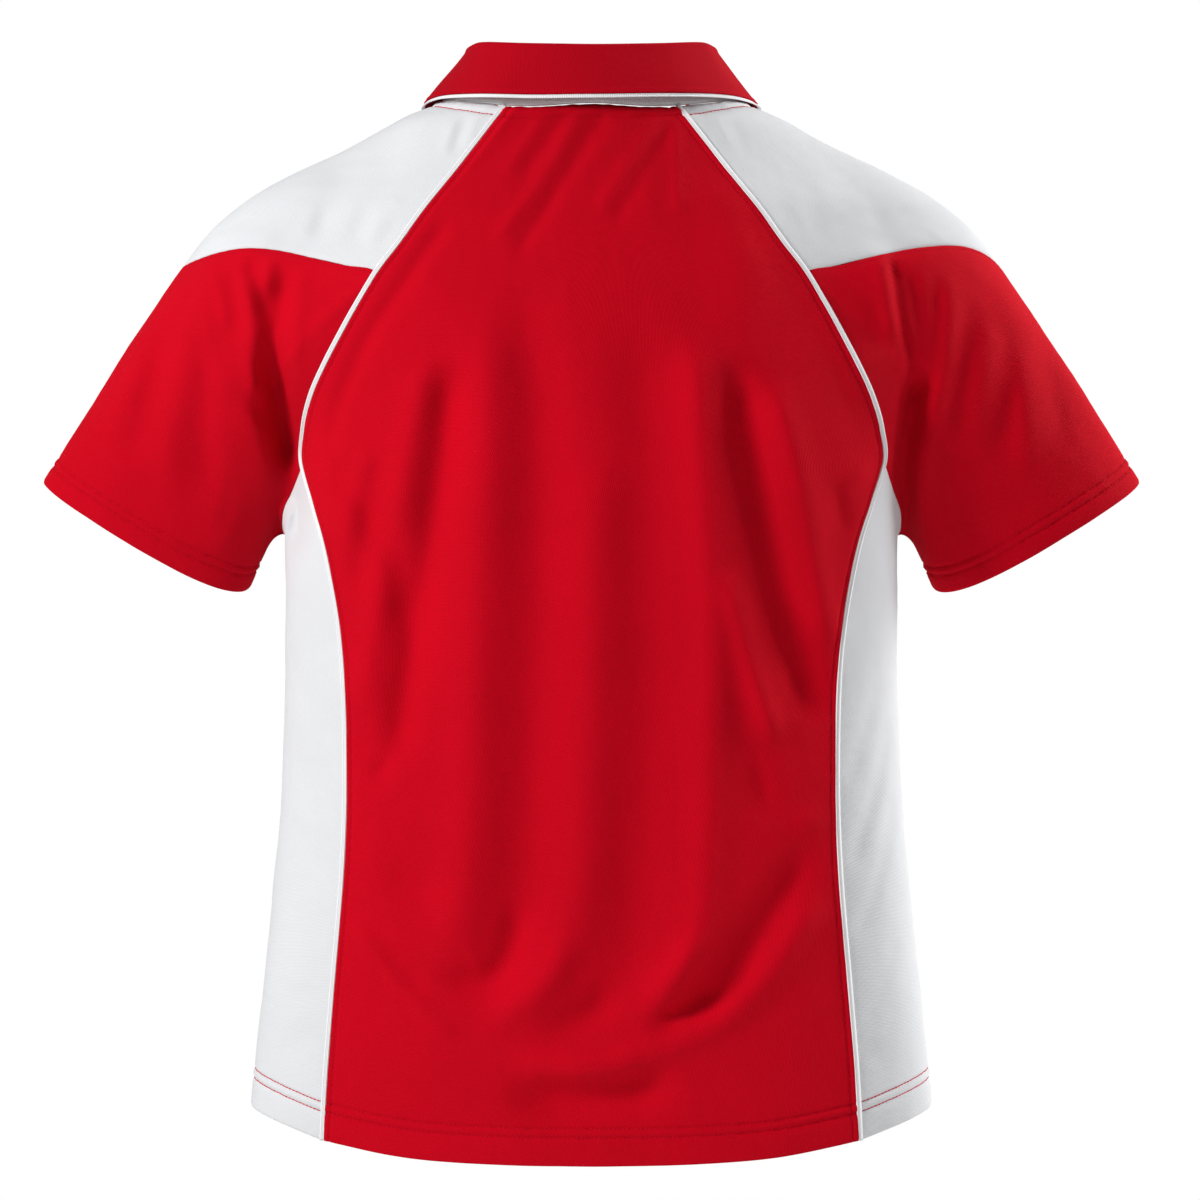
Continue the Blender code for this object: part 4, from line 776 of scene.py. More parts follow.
def cuff_line(top):
    """The cuff, with its points lined up with those of the sleeve's upper edge."""
    turns = np.linspace(0, 2 * math.pi, CUFF_STEPS + 1)
    u = sleeve_half(SLEEVE_LENGTH) * np.cos(turns)
    v = sleeve_deep(SLEEVE_LENGTH) * np.sin(turns)
    drop = np.maximum(np.sin(turns), 0) * (0.5 + 0.5 * np.cos(turns)) ** 2
    along = SLEEVE_LENGTH - CUFF_SLANT * u + CUFF_BACK_DROP * drop
    ring = SLEEVE_ROOT + (along[:, None] * RUN + u[:, None] * ACROSS + v[:, None] * BACKWARD)
    start = top[0] - SLEEVE_ROOT
    half_way = SLEEVE_LENGTH / 2
    shift = math.atan2(start @ BACKWARD / sleeve_deep(half_way),
                       start @ ACROSS / sleeve_half(half_way))
    ring = np.roll(ring[:-1], -round(shift / (2 * math.pi) * CUFF_STEPS), axis=0)
    ring = np.vstack((ring, ring[:1]))
    quarter = top[len(top) // 4] - SLEEVE_ROOT
    turning = np.cross(start, quarter) @ RUN
    ring_start, ring_quarter = ring[0] - SLEEVE_ROOT, ring[CUFF_STEPS // 8] - SLEEVE_ROOT
    if turning * (np.cross(ring_start, ring_quarter) @ RUN) < 0:
        ring = ring[::-1]
    return onto_form(spaced(ring, len(top) - 1))


def sleeve_grid():
    """The left sleeve, round from the back end of the shoulder seam."""
    top = joined(SEAM_YOKE_SLEEVE, SEAM_ARMHOLE_FRONT, SEAM_UNDERARM, SEAM_ARMHOLE_BACK[::-1])
    cuff = cuff_line(top)
    v = np.linspace(0, 1, CELLS["sleeve"] + 1)[:, None, None]
    return eased((1 - v) * top[None] + v * cuff[None], SLEEVE_EASING, closed=True)


# ---------------------------------------------------------------- fine grids

def steps_between(start, middle, end):
    """Distances along a line of any length: fine steps at each end, even ones between."""
    def distances(length):
        inner = np.linspace(start[-1], length - end[-1], middle + 1)
        return np.concatenate((start[:-1], inner, length - np.array(end[:-1])[::-1]))
    return distances


# Steps of the fine grids, in from an edge.
PLAIN_EDGE = (0.0,)
JOINED_EDGE = (0.0, 0.0006, 0.0014, 0.0028)
SIDE_TOP_EDGE = (0.0, 0.0006, 0.0014, 0.0026)
SLEEVE_EDGE = (0.0, 0.0006, 0.0014, 0.0022, 0.0030, 0.0040)
LEAF_STEPS = (0.0, 0.0006, 0.0014, 0.0022, 0.0028, 0.0034, 0.0045)
SEAM_EDGE = (0.0, 0.0005, 0.0010, 0.0017, 0.0025, 0.0035, 0.0045, 0.0051, 0.0056, 0.0061,
             0.0068, 0.0078, 0.0095)
NECK_EDGE = (0.0, 0.0006, 0.0014, 0.0026, 0.0042, 0.0060, 0.0076, 0.0084, 0.0090, 0.0096,
             0.0104, 0.0120)
HEM_EDGE = (0.0, 0.0004, 0.0010, 0.0020, 0.0050, 0.0090, 0.0130, 0.0165, 0.0183, 0.0190,
            0.0195, 0.0200, 0.0207, 0.0218, 0.0228, 0.0238, 0.0248, 0.0255, 0.0260, 0.0265,
            0.0272, 0.0283, 0.0300)
CUFF_EDGE = (0.0, 0.0004, 0.0010, 0.0020, 0.0050, 0.0085, 0.0110, 0.0123, 0.0130, 0.0135,
             0.0140, 0.0147, 0.0158, 0.0168, 0.0178, 0.0188, 0.0195, 0.0200, 0.0205, 0.0212,
             0.0223, 0.0240)


def spaced_down(grid, distances):
    """The grid with its rows at set distances from its top and bottom edges."""
    columns = [placed_along(grid[:, i], distances(lengths_along(grid[:, i])[-1]))
               for i in range(grid.shape[1])]
    return np.stack(columns, axis=1)


def spaced_across(grid, distances):
    """The grid with its columns at set distances from its left and right edges."""
    return np.stack([placed_along(row, distances(lengths_along(row)[-1])) for row in grid])


def finer(coarse, down, across, closed=False):
    """A fine grid on the form, with rows and columns at set distances from the edges."""
    grid = drawn(coarse, DENSE_DOWN)
    if closed:
        wrapped = np.concatenate((grid[:, -4:-1], grid, grid[:, 1:4]), axis=1)
        count = grid.shape[1] - 1
        at = 3 + np.linspace(0, count, DENSE_ACROSS * count + 1)
        grid = through(wrapped.transpose(1, 0, 2), at)
    else:
        grid = drawn(grid.transpose(1, 0, 2), DENSE_ACROSS)
    grid = spaced_down(onto_form(grid, 4).transpose(1, 0, 2), down)
    grid = onto_form(spaced_across(grid, across), 3)
    if closed:
        grid[:, -1] = grid[:, 0]
    return grid


def from_edges(grid):
    """Distances of a grid's points from its top, bottom, left and right edges."""
    down = lengths_along(grid)
    across = lengths_along(grid.transpose(1, 0, 2)).T
    return dict(top=down, bottom=down[-1:] - down, left=across, right=across[:, -1:] - across)


RIPPLE_LENGTHS = (0.006, 0.0085, 0.013, 0.021)
NOISE_WAVES = 7


def ripple(along, seed):
    """An uneven wave along a seam, about -1 to 1."""
    random = np.random.default_rng(seed)
    wave = np.zeros_like(along)
    for length in RIPPLE_LENGTHS:
        wave += np.sin(2 * math.pi * along / length + random.uniform(0, 6.28))
    return wave / 2.6


def soft_noise(points, scale, seed):
    """Slow uneven waves over a surface, about -1 to 1."""
    random = np.random.default_rng(seed)
    value = np.zeros(points.shape[:-1])
    for _ in range(NOISE_WAVES):
        way = random.normal(size=3)
        way = way / np.linalg.norm(way) / scale * random.uniform(0.6, 1.5)
        value += np.sin(2 * math.pi * points @ way + random.uniform(0, 6.28))
    return value / 3.5


RELIEF = dict(
    # height (a dip is below 0), half-width
    rolled_edge=(-0.0009, 0.0011),
    puffed_edge=(+0.00025, 0.0020),
    topstitch=(-0.0006, 0.0009),
    joined_edge=(-0.0008, 0.0012),
    hem_edge=(-0.0006, 0.0010),
    hem_stitch=(-0.0007, 0.0010),
    hem_band=(+0.00055, 0.0017),
    neck_band=(+0.0010, 0.0030),
    neck_stitch=(-0.0010, 0.0010),
    sleeve_stitch=(-0.0003, 0.0008),
    leaf_stitch=(-0.0003, 0.0007),
    placket_stitch=(-0.00035, 0.0007),
    placket_edge=(-0.0004, 0.0008),
)
SEAM_PUCKER = 0.5             # how unevenly stitches pull, a share of their depth
NECK_PUCKER = 0.4
NECK_PUCKER_PACE = 0.7        # below 1, the neck's puckers are longer than the others
HEM_PUFF = (0.0006, 0.004)    # height, and how far up it fades out
NECK_GATHERS = (0.00035, 0.030)    # height, and how far down they fade out


def relief(kind, distance, centre=0.0):
    """How an edge or a row of stitches lifts the cloth, by the distance from the edge."""
    height, half_width = RELIEF[kind]
    return height * bump(distance, centre, half_width)


def seam_edge(distance, along, seed):
    """A seam allowance turned under: the edge rolls in, the stitches pull a line down."""
    pucker = 1 + SEAM_PUCKER * ripple(along, seed)
    return (relief("rolled_edge", distance)
            + relief("puffed_edge", distance, SEAM_STITCH / 2)
            + relief("topstitch", distance, SEAM_STITCH) * pucker)


def joined_edges(away, *edges):
    """The far sides of seams, which only roll in."""
    return sum(relief("joined_edge", away[edge]) for edge in edges)


def hem_curl(distance, facing):
    """How far the cloth above the hem leans in toward the body, at the back and the front."""
    return HEM_CURL * np.clip(1 - distance / HEM_CURL_REACH, 0, 1) ** 2 * facing[..., 1] ** 2


def turned_hem(distance, along, rows, seed):
    """A hem turned up inside: two rows of stitches with a soft band between them."""
    pucker = 1 + SEAM_PUCKER * ripple(along, seed)
    shape = relief("hem_edge", distance) + relief("hem_band", distance, sum(rows) / 2)
    for row in rows:
        shape = shape + relief("hem_stitch", distance, row) * pucker
    height, fade = HEM_PUFF
    return shape + height * np.clip((rows[0] - distance) / fade, 0, 1)


def neck_edge(distance, along, seed):
    """The neck seam: a puffed band held down by a row of stitches, with small gathers."""
    pucker = ripple(along * NECK_PUCKER_PACE, seed)
    height, fade = NECK_GATHERS
    return (relief("joined_edge", distance)
            + relief("neck_band", distance, NECK_ROW / 2)
            + relief("neck_stitch", distance, NECK_ROW) * (1 + NECK_PUCKER * pucker)
            + height * pucker * np.clip(1 - distance / fade, 0, 1) ** 2)


def panel_edges(away, facing, seed):
    """The edges of the back or the front: two long seams, the hem and the neck."""
    return (seam_edge(away["left"], away["top"], seed)
            + seam_edge(away["right"], away["top"], seed + 1)
            + turned_hem(away["bottom"], away["left"], HEM_ROWS, seed + 2)
            - hem_curl(away["bottom"], facing)
            + neck_edge(away["top"], away["left"], seed + 3))


# ---------------------------------------------------------------- meshes

def new_object(name, mesh):
    piece = bpy.data.objects.new(name, mesh)
    bpy.context.scene.collection.objects.link(piece)
    return piece


def sheet_mesh(name, points, closed=False, keep=None):
    """A mesh through a grid of points, with its own UV map in metres along the cloth."""
    rows, columns = points.shape[0] - 1, points.shape[1] - 1
    bm = bmesh.new()
    bm.loops.layers.uv.new("cloth")
    bmesh.ops.create_grid(bm, x_segments=columns, y_segments=rows, size=1.0, calc_uvs=True)
    mesh = bpy.data.meshes.new(name)
    bm.to_mesh(mesh)
    bm.free()
    start = np.empty(len(mesh.vertices) * 3, np.float32)
    mesh.vertices.foreach_get("co", start)
    start = start.reshape(-1, 3)
    column = np.rint((start[:, 0] + 1) / 2 * columns).astype(int)
    row = np.rint((start[:, 1] + 1) / 2 * rows).astype(int)
    mesh.vertices.foreach_set("co", points[row, column].astype(np.float32).ravel())
    wide = lengths_along(points.transpose(1, 0, 2)).mean(axis=1)
    long = lengths_along(points).mean(axis=1)
    corner = np.empty(len(mesh.loops), np.int32)
    mesh.loops.foreach_get("vertex_index", corner)
    uv = np.stack((wide[column[corner]], long[row[corner]]), axis=1)
    mesh.uv_layers["cloth"].data.foreach_set("uv", uv.astype(np.float32).ravel())
    bm = bmesh.new()
    bm.from_mesh(mesh)
    if keep is not None:
        bm.verts.ensure_lookup_table()
        gone = [face for face in bm.faces
                if not keep(min(row[v.index] for v in face.verts),
                            min(column[v.index] for v in face.verts))]
        bmesh.ops.delete(bm, geom=gone, context="FACES")
    if closed:
        bmesh.ops.remove_doubles(bm, verts=bm.verts, dist=1e-6)
    bm.to_mesh(mesh)
    bm.free()
    mesh.shade_smooth()
    return mesh


def faces_out(points, facing):
    """True if a grid's own winding faces the way of the given normals."""
    r, c = points.shape[0] // 2, points.shape[1] // 2
    across = points[r, c + 1] - points[r, c]
    down = points[r + 1, c] - points[r, c]
    return np.cross(across, down) @ facing[r, c] > 0


def cloth_piece(name, solid, points, facing, material, thickness=CLOTH, closed=False,
                keep=None):
    """A grid of places made a cloth shell whose outer side is the grid."""
    mesh = sheet_mesh(name, points, closed, keep)
    if not faces_out(points, facing):
        mesh.flip_normals()
    piece = new_object(name, mesh)
    mesh.materials.append(material)
    shell = piece.modifiers.new("thickness", "SOLIDIFY")
    shell.thickness = thickness
    shell.offset = -1.0
    shell.use_even_offset = False
    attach(piece, "root")
    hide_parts(solid)
    return piece


# ---------------------------------------------------------------- materials

def shader_tree(name, colour, roughness, sheen=0.0, sheen_tint=(1, 1, 1, 1), specular=0.06):
    made = bpy.data.materials.new(name)
    made.use_nodes = True
    tree = made.node_tree
    shader = tree.nodes["Principled BSDF"]
    shader.inputs["Base Color"].default_value = colour
    shader.inputs["Roughness"].default_value = roughness
    shader.inputs["Specular IOR Level"].default_value = specular
    shader.inputs["Sheen Weight"].default_value = sheen
    shader.inputs["Sheen Roughness"].default_value = 0.4
    shader.inputs["Sheen Tint"].default_value = sheen_tint
    return made, tree, shader


def node(tree, kind, **values):
    made = tree.nodes.new(kind)
    for key, value in values.items():
        setattr(made, key, value)
    return made


def maths(tree, operation, first, second):
    made = node(tree, "ShaderNodeMath", operation=operation)
    for socket, value in zip(made.inputs, (first, second)):
        if hasattr(value, "is_output"):
            tree.links.new(value, socket)
        else:
            socket.default_value = value
    return made.outputs[0]


def sine(tree, along, share=1.0):
    """A sine wave of the knit's pitch, over a share of its turns."""
    turn = 2 * math.pi / KNIT_PITCH * share
    return maths(tree, "SINE", maths(tree, "MULTIPLY", along, turn), 0.0)


def bird_eye_height(tree, uv):
    """Little offset cells in diagonal rows, as on a birdseye knit."""
    split = node(tree, "ShaderNodeSeparateXYZ")
    tree.links.new(uv, split.inputs[0])
    first = maths(tree, "ADD", split.outputs[0], split.outputs[1])
    second = maths(tree, "SUBTRACT", split.outputs[0], split.outputs[1])
    return maths(tree, "MULTIPLY", sine(tree, first, 0.72), sine(tree, second, 0.55))


def rib_height(tree, uv):
    """Ribs down the cloth."""
    split = node(tree, "ShaderNodeSeparateXYZ")
    tree.links.new(uv, split.inputs[0])
    return sine(tree, split.outputs[0])


def noise(tree, scale, detail=2.0):
    """Noise on Object coordinates."""
    place = node(tree, "ShaderNodeTexCoord")
    made = node(tree, "ShaderNodeTexNoise", noise_dimensions="3D")
    made.inputs["Scale"].default_value = scale
    made.inputs["Detail"].default_value = detail
    tree.links.new(place.outputs["Object"], made.inputs["Vector"])
    return made.outputs["Fac"]


def add_bump(tree, shader, height, strength, distance):
    made = node(tree, "ShaderNodeBump")
    made.inputs["Strength"].default_value = strength
    made.inputs["Distance"].default_value = distance
    tree.links.new(height, made.inputs["Height"])
    tree.links.new(made.outputs["Normal"], shader.inputs["Normal"])


def mix_colours(tree, shader, share, first, second):
    mix = node(tree, "ShaderNodeMix", data_type="RGBA")
    tree.links.new(share, mix.inputs["Factor"])
    mix.inputs["A"].default_value = first
    mix.inputs["B"].default_value = second
    tree.links.new(mix.outputs["Result"], shader.inputs["Base Color"])


def knit(name, colour, shade_and_tone_colour, roughness, sheen, tint, strength, ribbed=False):
    """Knitted cloth: cells or ribs as bump, painted shade between them, and slow uneven colour."""
    made, tree, shader = shader_tree(name, colour, roughness, sheen, tint)
    uv = node(tree, "ShaderNodeUVMap", uv_map="cloth")
    height = (rib_height if ribbed else bird_eye_height)(tree, uv.outputs[0])
    fuzz = noise(tree, FUZZ_SCALE, detail=3.0)
    patches = noise(tree, PATCH_SCALE)
    surface = maths(tree, "ADD", height, maths(tree, "MULTIPLY", fuzz, 1.1))
    add_bump(tree, shader, surface, strength, KNIT_DEPTH)
    # The darker colour is painted shade in the knit's hollows, together with random darker patches
    # of tone.
    shade_and_tone = maths(tree, "ADD", maths(tree, "MULTIPLY", height, 0.42),
                  maths(tree, "MULTIPLY", patches, 0.5))
    shade_and_tone = maths(tree, "ADD", shade_and_tone, maths(tree, "MULTIPLY", fuzz, 0.5))
    mix_colours(tree, shader, shade_and_tone, shade_and_tone_colour, colour)
    return made


def thread_material(name, colour):
    """Sewing thread: a fine twist across it."""
    made, tree, shader = shader_tree(name, colour, 0.6, 0.2, colour)
    add_bump(tree, shader, noise(tree, 1800.0), 0.4, 0.0001)
    return made


def button_material():
    """Moulded polyester with faint clouding."""
    made, tree, shader = shader_tree("button_plastic", (0.84, 0.83, 0.80, 1), 0.28, specular=0.5)
    mix_colours(tree, shader, noise(tree, 260.0), (0.76, 0.75, 0.72, 1), (0.90, 0.89, 0.87, 1))
    return made


# Each cloth's second, darker colour is painted shade for its knit's hollows, and also its random
# darker patches.
RED = (0.675, 0.0006, 0.0130, 1)
RED_SHADE_AND_TONE = (0.498, 0.0003, 0.0085, 1)
RED_GLOW = (1.0, 0.05, 0.10, 1)
PLAIN_GLOW = (1.0, 1.0, 1.0, 1)
WHITE = (0.765, 0.772, 0.790, 1)
WHITE_SHADE_AND_TONE = (0.665, 0.672, 0.692, 1)
TRIM = (0.930, 0.930, 0.940, 1)
TRIM_SHADE_AND_TONE = (0.820, 0.820, 0.835, 1)
COLLAR_RED = (0.530, 0.0005, 0.0110, 1)
COLLAR_RED_SHADE_AND_TONE = (0.390, 0.0003, 0.0070, 1)

# Name, colour, darker colour (painted shade in the hollows, and random darker tone), roughness,
# sheen and its tint, strength of the bump.
red_knit = knit("red_knit", RED, RED_SHADE_AND_TONE, 0.85, 0.025, RED_GLOW, 0.70)
white_knit = knit("white_knit", WHITE, WHITE_SHADE_AND_TONE, 0.80, 0.06, PLAIN_GLOW, 0.50)
collar_knit = knit("collar_knit", COLLAR_RED, COLLAR_RED_SHADE_AND_TONE, 0.85, 0.04, RED_GLOW, 0.7)
white_rib = knit("white_rib", TRIM, TRIM_SHADE_AND_TONE, 0.75, 0.06, PLAIN_GLOW, 0.6, ribbed=True)
red_thread = thread_material("red_thread", (0.560, 0.003, 0.020, 1))
button_plastic = button_material()


# ---------------------------------------------------------------- threads

def stitch_template():
    """One stitch, a thread's length with tapered ends, along +X, 1 long and 1 wide."""
    bm = bmesh.new()
    bmesh.ops.create_cone(bm, cap_ends=True, segments=6, radius1=0.30, radius2=0.30, depth=1.0)
    bmesh.ops.subdivide_edges(
        bm, edges=[e for e in bm.edges if abs(e.verts[0].co.z - e.verts[1].co.z) > 0.5], cuts=1)
    middle = [vert for vert in bm.verts if abs(vert.co.z) < 0.1]
    bmesh.ops.scale(bm, verts=middle, vec=(1.67, 1.67, 1.0))
    places = np.array([(v.co.z, v.co.x, v.co.y) for v in bm.verts])
    bm.verts.index_update()
    faces = [[v.index for v in face.verts] for face in bm.faces]
    bm.free()
    return places, faces


STITCH_PLACES, STITCH_FACES = stitch_template()


def sewn_line(points, facing):
    """The frames of stitches along a line: place, run, side and facing of each."""
    along = lengths_along(points)
    total = along[-1]
    count = max(int(total / STITCH_PITCH), 1)
    at = (np.arange(count) + 0.5) * total / count
    place = placed_along(points, at)
    start = placed_along(points, at - STITCH_LENGTH / 2)
    end = placed_along(points, at + STITCH_LENGTH / 2)
    up = np.stack([np.interp(at, along, facing[:, i]) for i in range(3)], axis=1)
    run = unit(end - start)
    up = unit(up - run * np.sum(up * run, axis=1, keepdims=True))
    return place + up * STITCH_LIFT, run, np.cross(up, run), up


def sew(name, lines, material, thread=THREAD, length=STITCH_LENGTH):
    """All the stitches of one thread, as one mesh."""
    place, run, side, up = [np.concatenate(parts) for parts in zip(*lines)]
    sizes = np.array((length, 2 * thread, 2 * thread))
    shape = STITCH_PLACES * sizes
    verts = (place[:, None] + run[:, None] * shape[None, :, :1]
             + side[:, None] * shape[None, :, 1:2] + up[:, None] * shape[None, :, 2:])
    faces = []
    for i in range(len(place)):
        first = i * len(STITCH_PLACES)
        faces.extend([[first + corner for corner in face] for face in STITCH_FACES])
    mesh = bpy.data.meshes.new(name)
    mesh.from_pydata(verts.reshape(-1, 3).tolist(), [], faces)
    bm = bmesh.new()
    bm.from_mesh(mesh)
    bmesh.ops.recalc_face_normals(bm, faces=bm.faces)
    bm.to_mesh(mesh)
    bm.free()
    mesh.shade_smooth()
    mesh.materials.append(material)
    piece = new_object(name, mesh)
    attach(piece, "root")
    return piece


def surface_normals(points, facing):
    """Normals of a displaced grid, on the side of the form's normals."""
    across = np.gradient(points, axis=1)
    down = np.gradient(points, axis=0)
    out = unit(np.cross(across, down))
    flip = np.sign(np.sum(out * facing, axis=-1, keepdims=True))
    return out * flip


# ---------------------------------------------------------------- the pieces

red_lines, red_on_white = [], []


def add_lines(target, points, facing, rows=(), columns=(), span=slice(None)):
    """Adds a line of stitches along each of these rows and columns of a grid."""
    for row in rows:
        target.append(sewn_line(points[row, span], facing[row, span]))
    for column in columns:
        target.append(sewn_line(points[span, column], facing[span, column]))


def raised(grid, facing, extra, seed, free=1.0):
    """The grid with its folds (the share of them that is free), unevenness and seams."""
    lift = extra
    for number, (height, length) in enumerate((SLOW_WAVES, QUICK_WAVES)):
        lift = lift + height * soft_noise(grid, length, seed + number)
    folds = fold_offsets(grid, facing) * np.broadcast_to(free, lift.shape)[..., None]
    return grid + folds + facing * lift[..., None]


def settled(points, away):
    """Evens out the shoulder about the place where the sleeve's form meets the torso's."""
    x, z = SHOULDER_MEETS
    off = (np.abs(points[..., 0]) - x) ** 2 + (points[..., 2] - z) ** 2
    inside = np.min(list(away.values()), axis=0)
    share = (np.exp(-off / SHOULDER_REACH ** 2)
             * np.clip((inside - SHOULDER_RIM) / SHOULDER_FADE, 0, 1))
    share = share[1:-1, 1:-1, None]
    for _ in range(SHOULDER_ROUNDS):
        beside = points[1:-1, :-2] + points[1:-1, 2:]
        above = points[:-2, 1:-1] + points[2:, 1:-1]
        points[1:-1, 1:-1] += share * ((beside + above) / 4 - points[1:-1, 1:-1])
    points[1:-1, 1:-1, 2:] += SHOULDER_LIFT * share
    return points


HEM_LINES = [-1 - HEM_EDGE.index(row) for row in HEM_ROWS]
CUFF_LINES = [-1 - CUFF_EDGE.index(row) for row in CUFF_ROWS]
NECK_LINE = NECK_EDGE.index(NECK_ROW)
SEAM_LINES = (SEAM_EDGE.index(SEAM_STITCH), -1 - SEAM_EDGE.index(SEAM_STITCH))


def make_back():
    down, across = FINE["back"]
    grid = finer(back_grid(), steps_between(NECK_EDGE, down, HEM_EDGE),
                 steps_between(SEAM_EDGE, across, SEAM_EDGE))
    facing = normals(grid)
    away = from_edges(grid)
    held = np.clip(1 - away["top"] / NECK_HOLD, 0, 1)
    shape = panel_edges(away, facing, seed=11)
    points = raised(grid, facing, shape, seed=15, free=1 - NECK_HELD * held)
    piece = cloth_piece("back_cloth", "back_panel", points, facing, red_knit)
    out = surface_normals(points, facing)
    add_lines(red_lines, points, out, rows=HEM_LINES + [NECK_LINE])
    add_lines(red_lines, points, out, columns=SEAM_LINES)


def fine_front():
    """The front's fine grid, with evenly wide columns down the slit, and where they begin."""
    coarse = front_grid()
    middle = CELLS["body"] // 2
    outer = middle - 1
    slit_left = DENSE_FRONT * outer
    slit_right = slit_left + 2
    at = np.concatenate((np.linspace(0, outer, slit_left + 1), (middle,),
                         np.linspace(middle + 1, 2 * middle, slit_left + 1)))
    grid = through(coarse.transpose(1, 0, 2), at).transpose(1, 0, 2)
    grid[:, slit_left, 0] = -SLIT_HALF_WIDTH
    grid[:, slit_right, 0] = SLIT_HALF_WIDTH
    down, across = FINE["front"]
    grid = spaced_down(drawn(grid, DENSE_DOWN), steps_between(NECK_EDGE, down, HEM_EDGE))
    left = spaced_across(grid[:, :slit_left + 1], steps_between(SEAM_EDGE, across, PLAIN_EDGE))
    right = spaced_across(grid[:, slit_right:], steps_between(PLAIN_EDGE, across, SEAM_EDGE))
    start, end = grid[:, slit_left], grid[:, slit_right]
    inner = np.linspace(-SLIT_HALF_WIDTH, SLIT_HALF_WIDTH, SLIT_CELLS + 1)[1:-1]
    between = np.stack([start + (end - start) * (x + SLIT_HALF_WIDTH) / (2 * SLIT_HALF_WIDTH)
                        for x in inner], axis=1)
    grid = onto_form(np.concatenate((left, between, right), axis=1), 5)
    return grid, left.shape[1] - 1


def make_front():
    grid, first = fine_front()
    last = first + SLIT_CELLS
    facing = normals(grid)
    away = from_edges(grid)
    points = raised(grid, facing, panel_edges(away, facing, seed=21), seed=25)
    depth = int(np.argmin(np.abs(away["top"][:, (first + last) // 2] - SLIT_LENGTH)))
    piece = cloth_piece("front_cloth", "front_panel", points, facing, red_knit,
                        keep=lambda row, column: row >= depth or not first <= column < last)
    out = surface_normals(points, facing)
    add_lines(red_lines, points, out, rows=HEM_LINES)
    add_lines(red_lines, points, out, columns=SEAM_LINES)
    add_lines(red_lines, points, out, rows=(NECK_LINE,), span=slice(0, first))
    add_lines(red_lines, points, out, rows=(NECK_LINE,), span=slice(last, None))


def make_side(name, sign):
    down, across = FINE["side"]
    grid = finer(one_side(side_grid(), sign, mirrored),
                 steps_between(SIDE_TOP_EDGE, down, HEM_EDGE),
                 steps_between(JOINED_EDGE, across, JOINED_EDGE))
    facing = normals(grid)
    away = from_edges(grid)
    shape = (joined_edges(away, "left", "right", "top")
             + turned_hem(away["bottom"], away["left"], HEM_ROWS, seed=34)
             - hem_curl(away["bottom"], facing))
    points = raised(grid, facing, shape, seed=35 + sign)
    piece = cloth_piece("side_cloth_" + name, "side_panel_" + name, points, facing,
                        white_knit)
    add_lines(red_on_white, points, surface_normals(points, facing), rows=HEM_LINES)


def make_yoke(name, sign):
    down, across = FINE["yoke"]
    grid = finer(one_side(yoke_grid(), sign), steps_between(NECK_EDGE, down, JOINED_EDGE),
                 steps_between(JOINED_EDGE, across, JOINED_EDGE))
    away = from_edges(grid)
    grid = settled(grid, away)
    facing = normals(grid)
    shape = (joined_edges(away, "left", "right", "bottom")
             + neck_edge(away["top"], away["left"], seed=44))
    points = raised(grid, facing, shape, seed=45 + sign)
    piece = cloth_piece("shoulder_yoke_cloth_" + name, "shoulder_yoke_" + name,
                        points, facing, white_knit)
    add_lines(red_on_white, points, surface_normals(points, facing), rows=(NECK_LINE,))


def make_sleeve(name, sign):
    down, across = FINE["sleeve"]
    grid = finer(one_side(sleeve_grid(), sign), steps_between(SLEEVE_EDGE, down, CUFF_EDGE),
                 steps_between(PLAIN_EDGE, across, PLAIN_EDGE), closed=True)
    facing = normals(grid)
    away = from_edges(grid)
    shape = (joined_edges(away, "top")
             + relief("sleeve_stitch", away["top"], SLEEVE_ROW)
             + turned_hem(away["bottom"], away["left"], CUFF_ROWS, seed=52))
    points = raised(grid, facing, shape, seed=55 + sign)
    points[:, -1] = points[:, 0]
    piece = cloth_piece("sleeve_cloth_" + name, "sleeve_" + name, points, facing,
                        red_knit, closed=True)
    out = surface_normals(points, facing)
    add_lines(red_lines, points, out, rows=CUFF_LINES + [SLEEVE_EDGE.index(SLEEVE_ROW)])


def make_piping():
    """Folded tape over each long seam: a round cord with a flat edge beside it."""
    section = (
        # across the piping, above the seam
        (-1.00, -0.0004), (-0.86, 0.0008), (-0.55, 0.0014), (-0.15, 0.0016), (0.15, 0.0014),
        (0.38, 0.0008), (0.60, 0.0010), (0.86, 0.0008), (1.00, -0.0004),
    )
    made = {"back": [], "front": []}
    for face, edge in (("back", BACK_EDGE), ("front", FRONT_EDGE)):
        for name, sign in (("left", -1), ("right", 1)):
            line = one_side(edge, sign, mirrored)
            line = onto_form(through(line, np.linspace(0, len(line) - 1, PIPING_PLACES)), 4)
            facing = normals(line)
            run = unit(np.gradient(line, axis=0))
            inward = unit(np.cross(facing, run))
            if inward[PIPING_PLACES // 2, 0] * sign > 0:
                inward = -inward
            above_hem = lengths_along(line)[-1] - lengths_along(line)
            middle = (line + fold_offsets(line, facing)
                      - facing * hem_curl(above_hem, facing)[:, None])
            points = np.stack([middle + inward * PIPING_HALF_WIDTH * across + facing * above
                               for across, above in section], axis=1)
            out = np.broadcast_to(facing[:, None], points.shape)
            piece = cloth_piece("piping_cloth_" + face + "_" + name,
                                "piping_" + face + "_" + name, points, out,
                                white_rib, thickness=PIPING_CLOTH)
            made[face].append(piece)
    return made


def collar_ring(table, turns):
    """Places round the collar, smooth across the middle of the back."""
    turn, x, y, z = table[1]
    both_sides = ((-turn, -x, y, z),) + table
    half = [smooth_table(both_sides, column) for column in (1, 2, 3)]
    sizes = np.stack([curve(np.abs(turns)) for curve in half], axis=-1)
    sizes[..., 0] *= np.sign(turns)
    return sizes


def outward_from_neck(ring):
    return unit(ring * np.array((1.0, 1.0, 0.0)) - np.array((0.0, NECK_FORWARD, 0.0)))


def collar_turns(cells):
    end = 180 - math.degrees(FRONT_OPENING / STAND_ENDS_OUT)
    return np.linspace(-end, end, cells + 1)


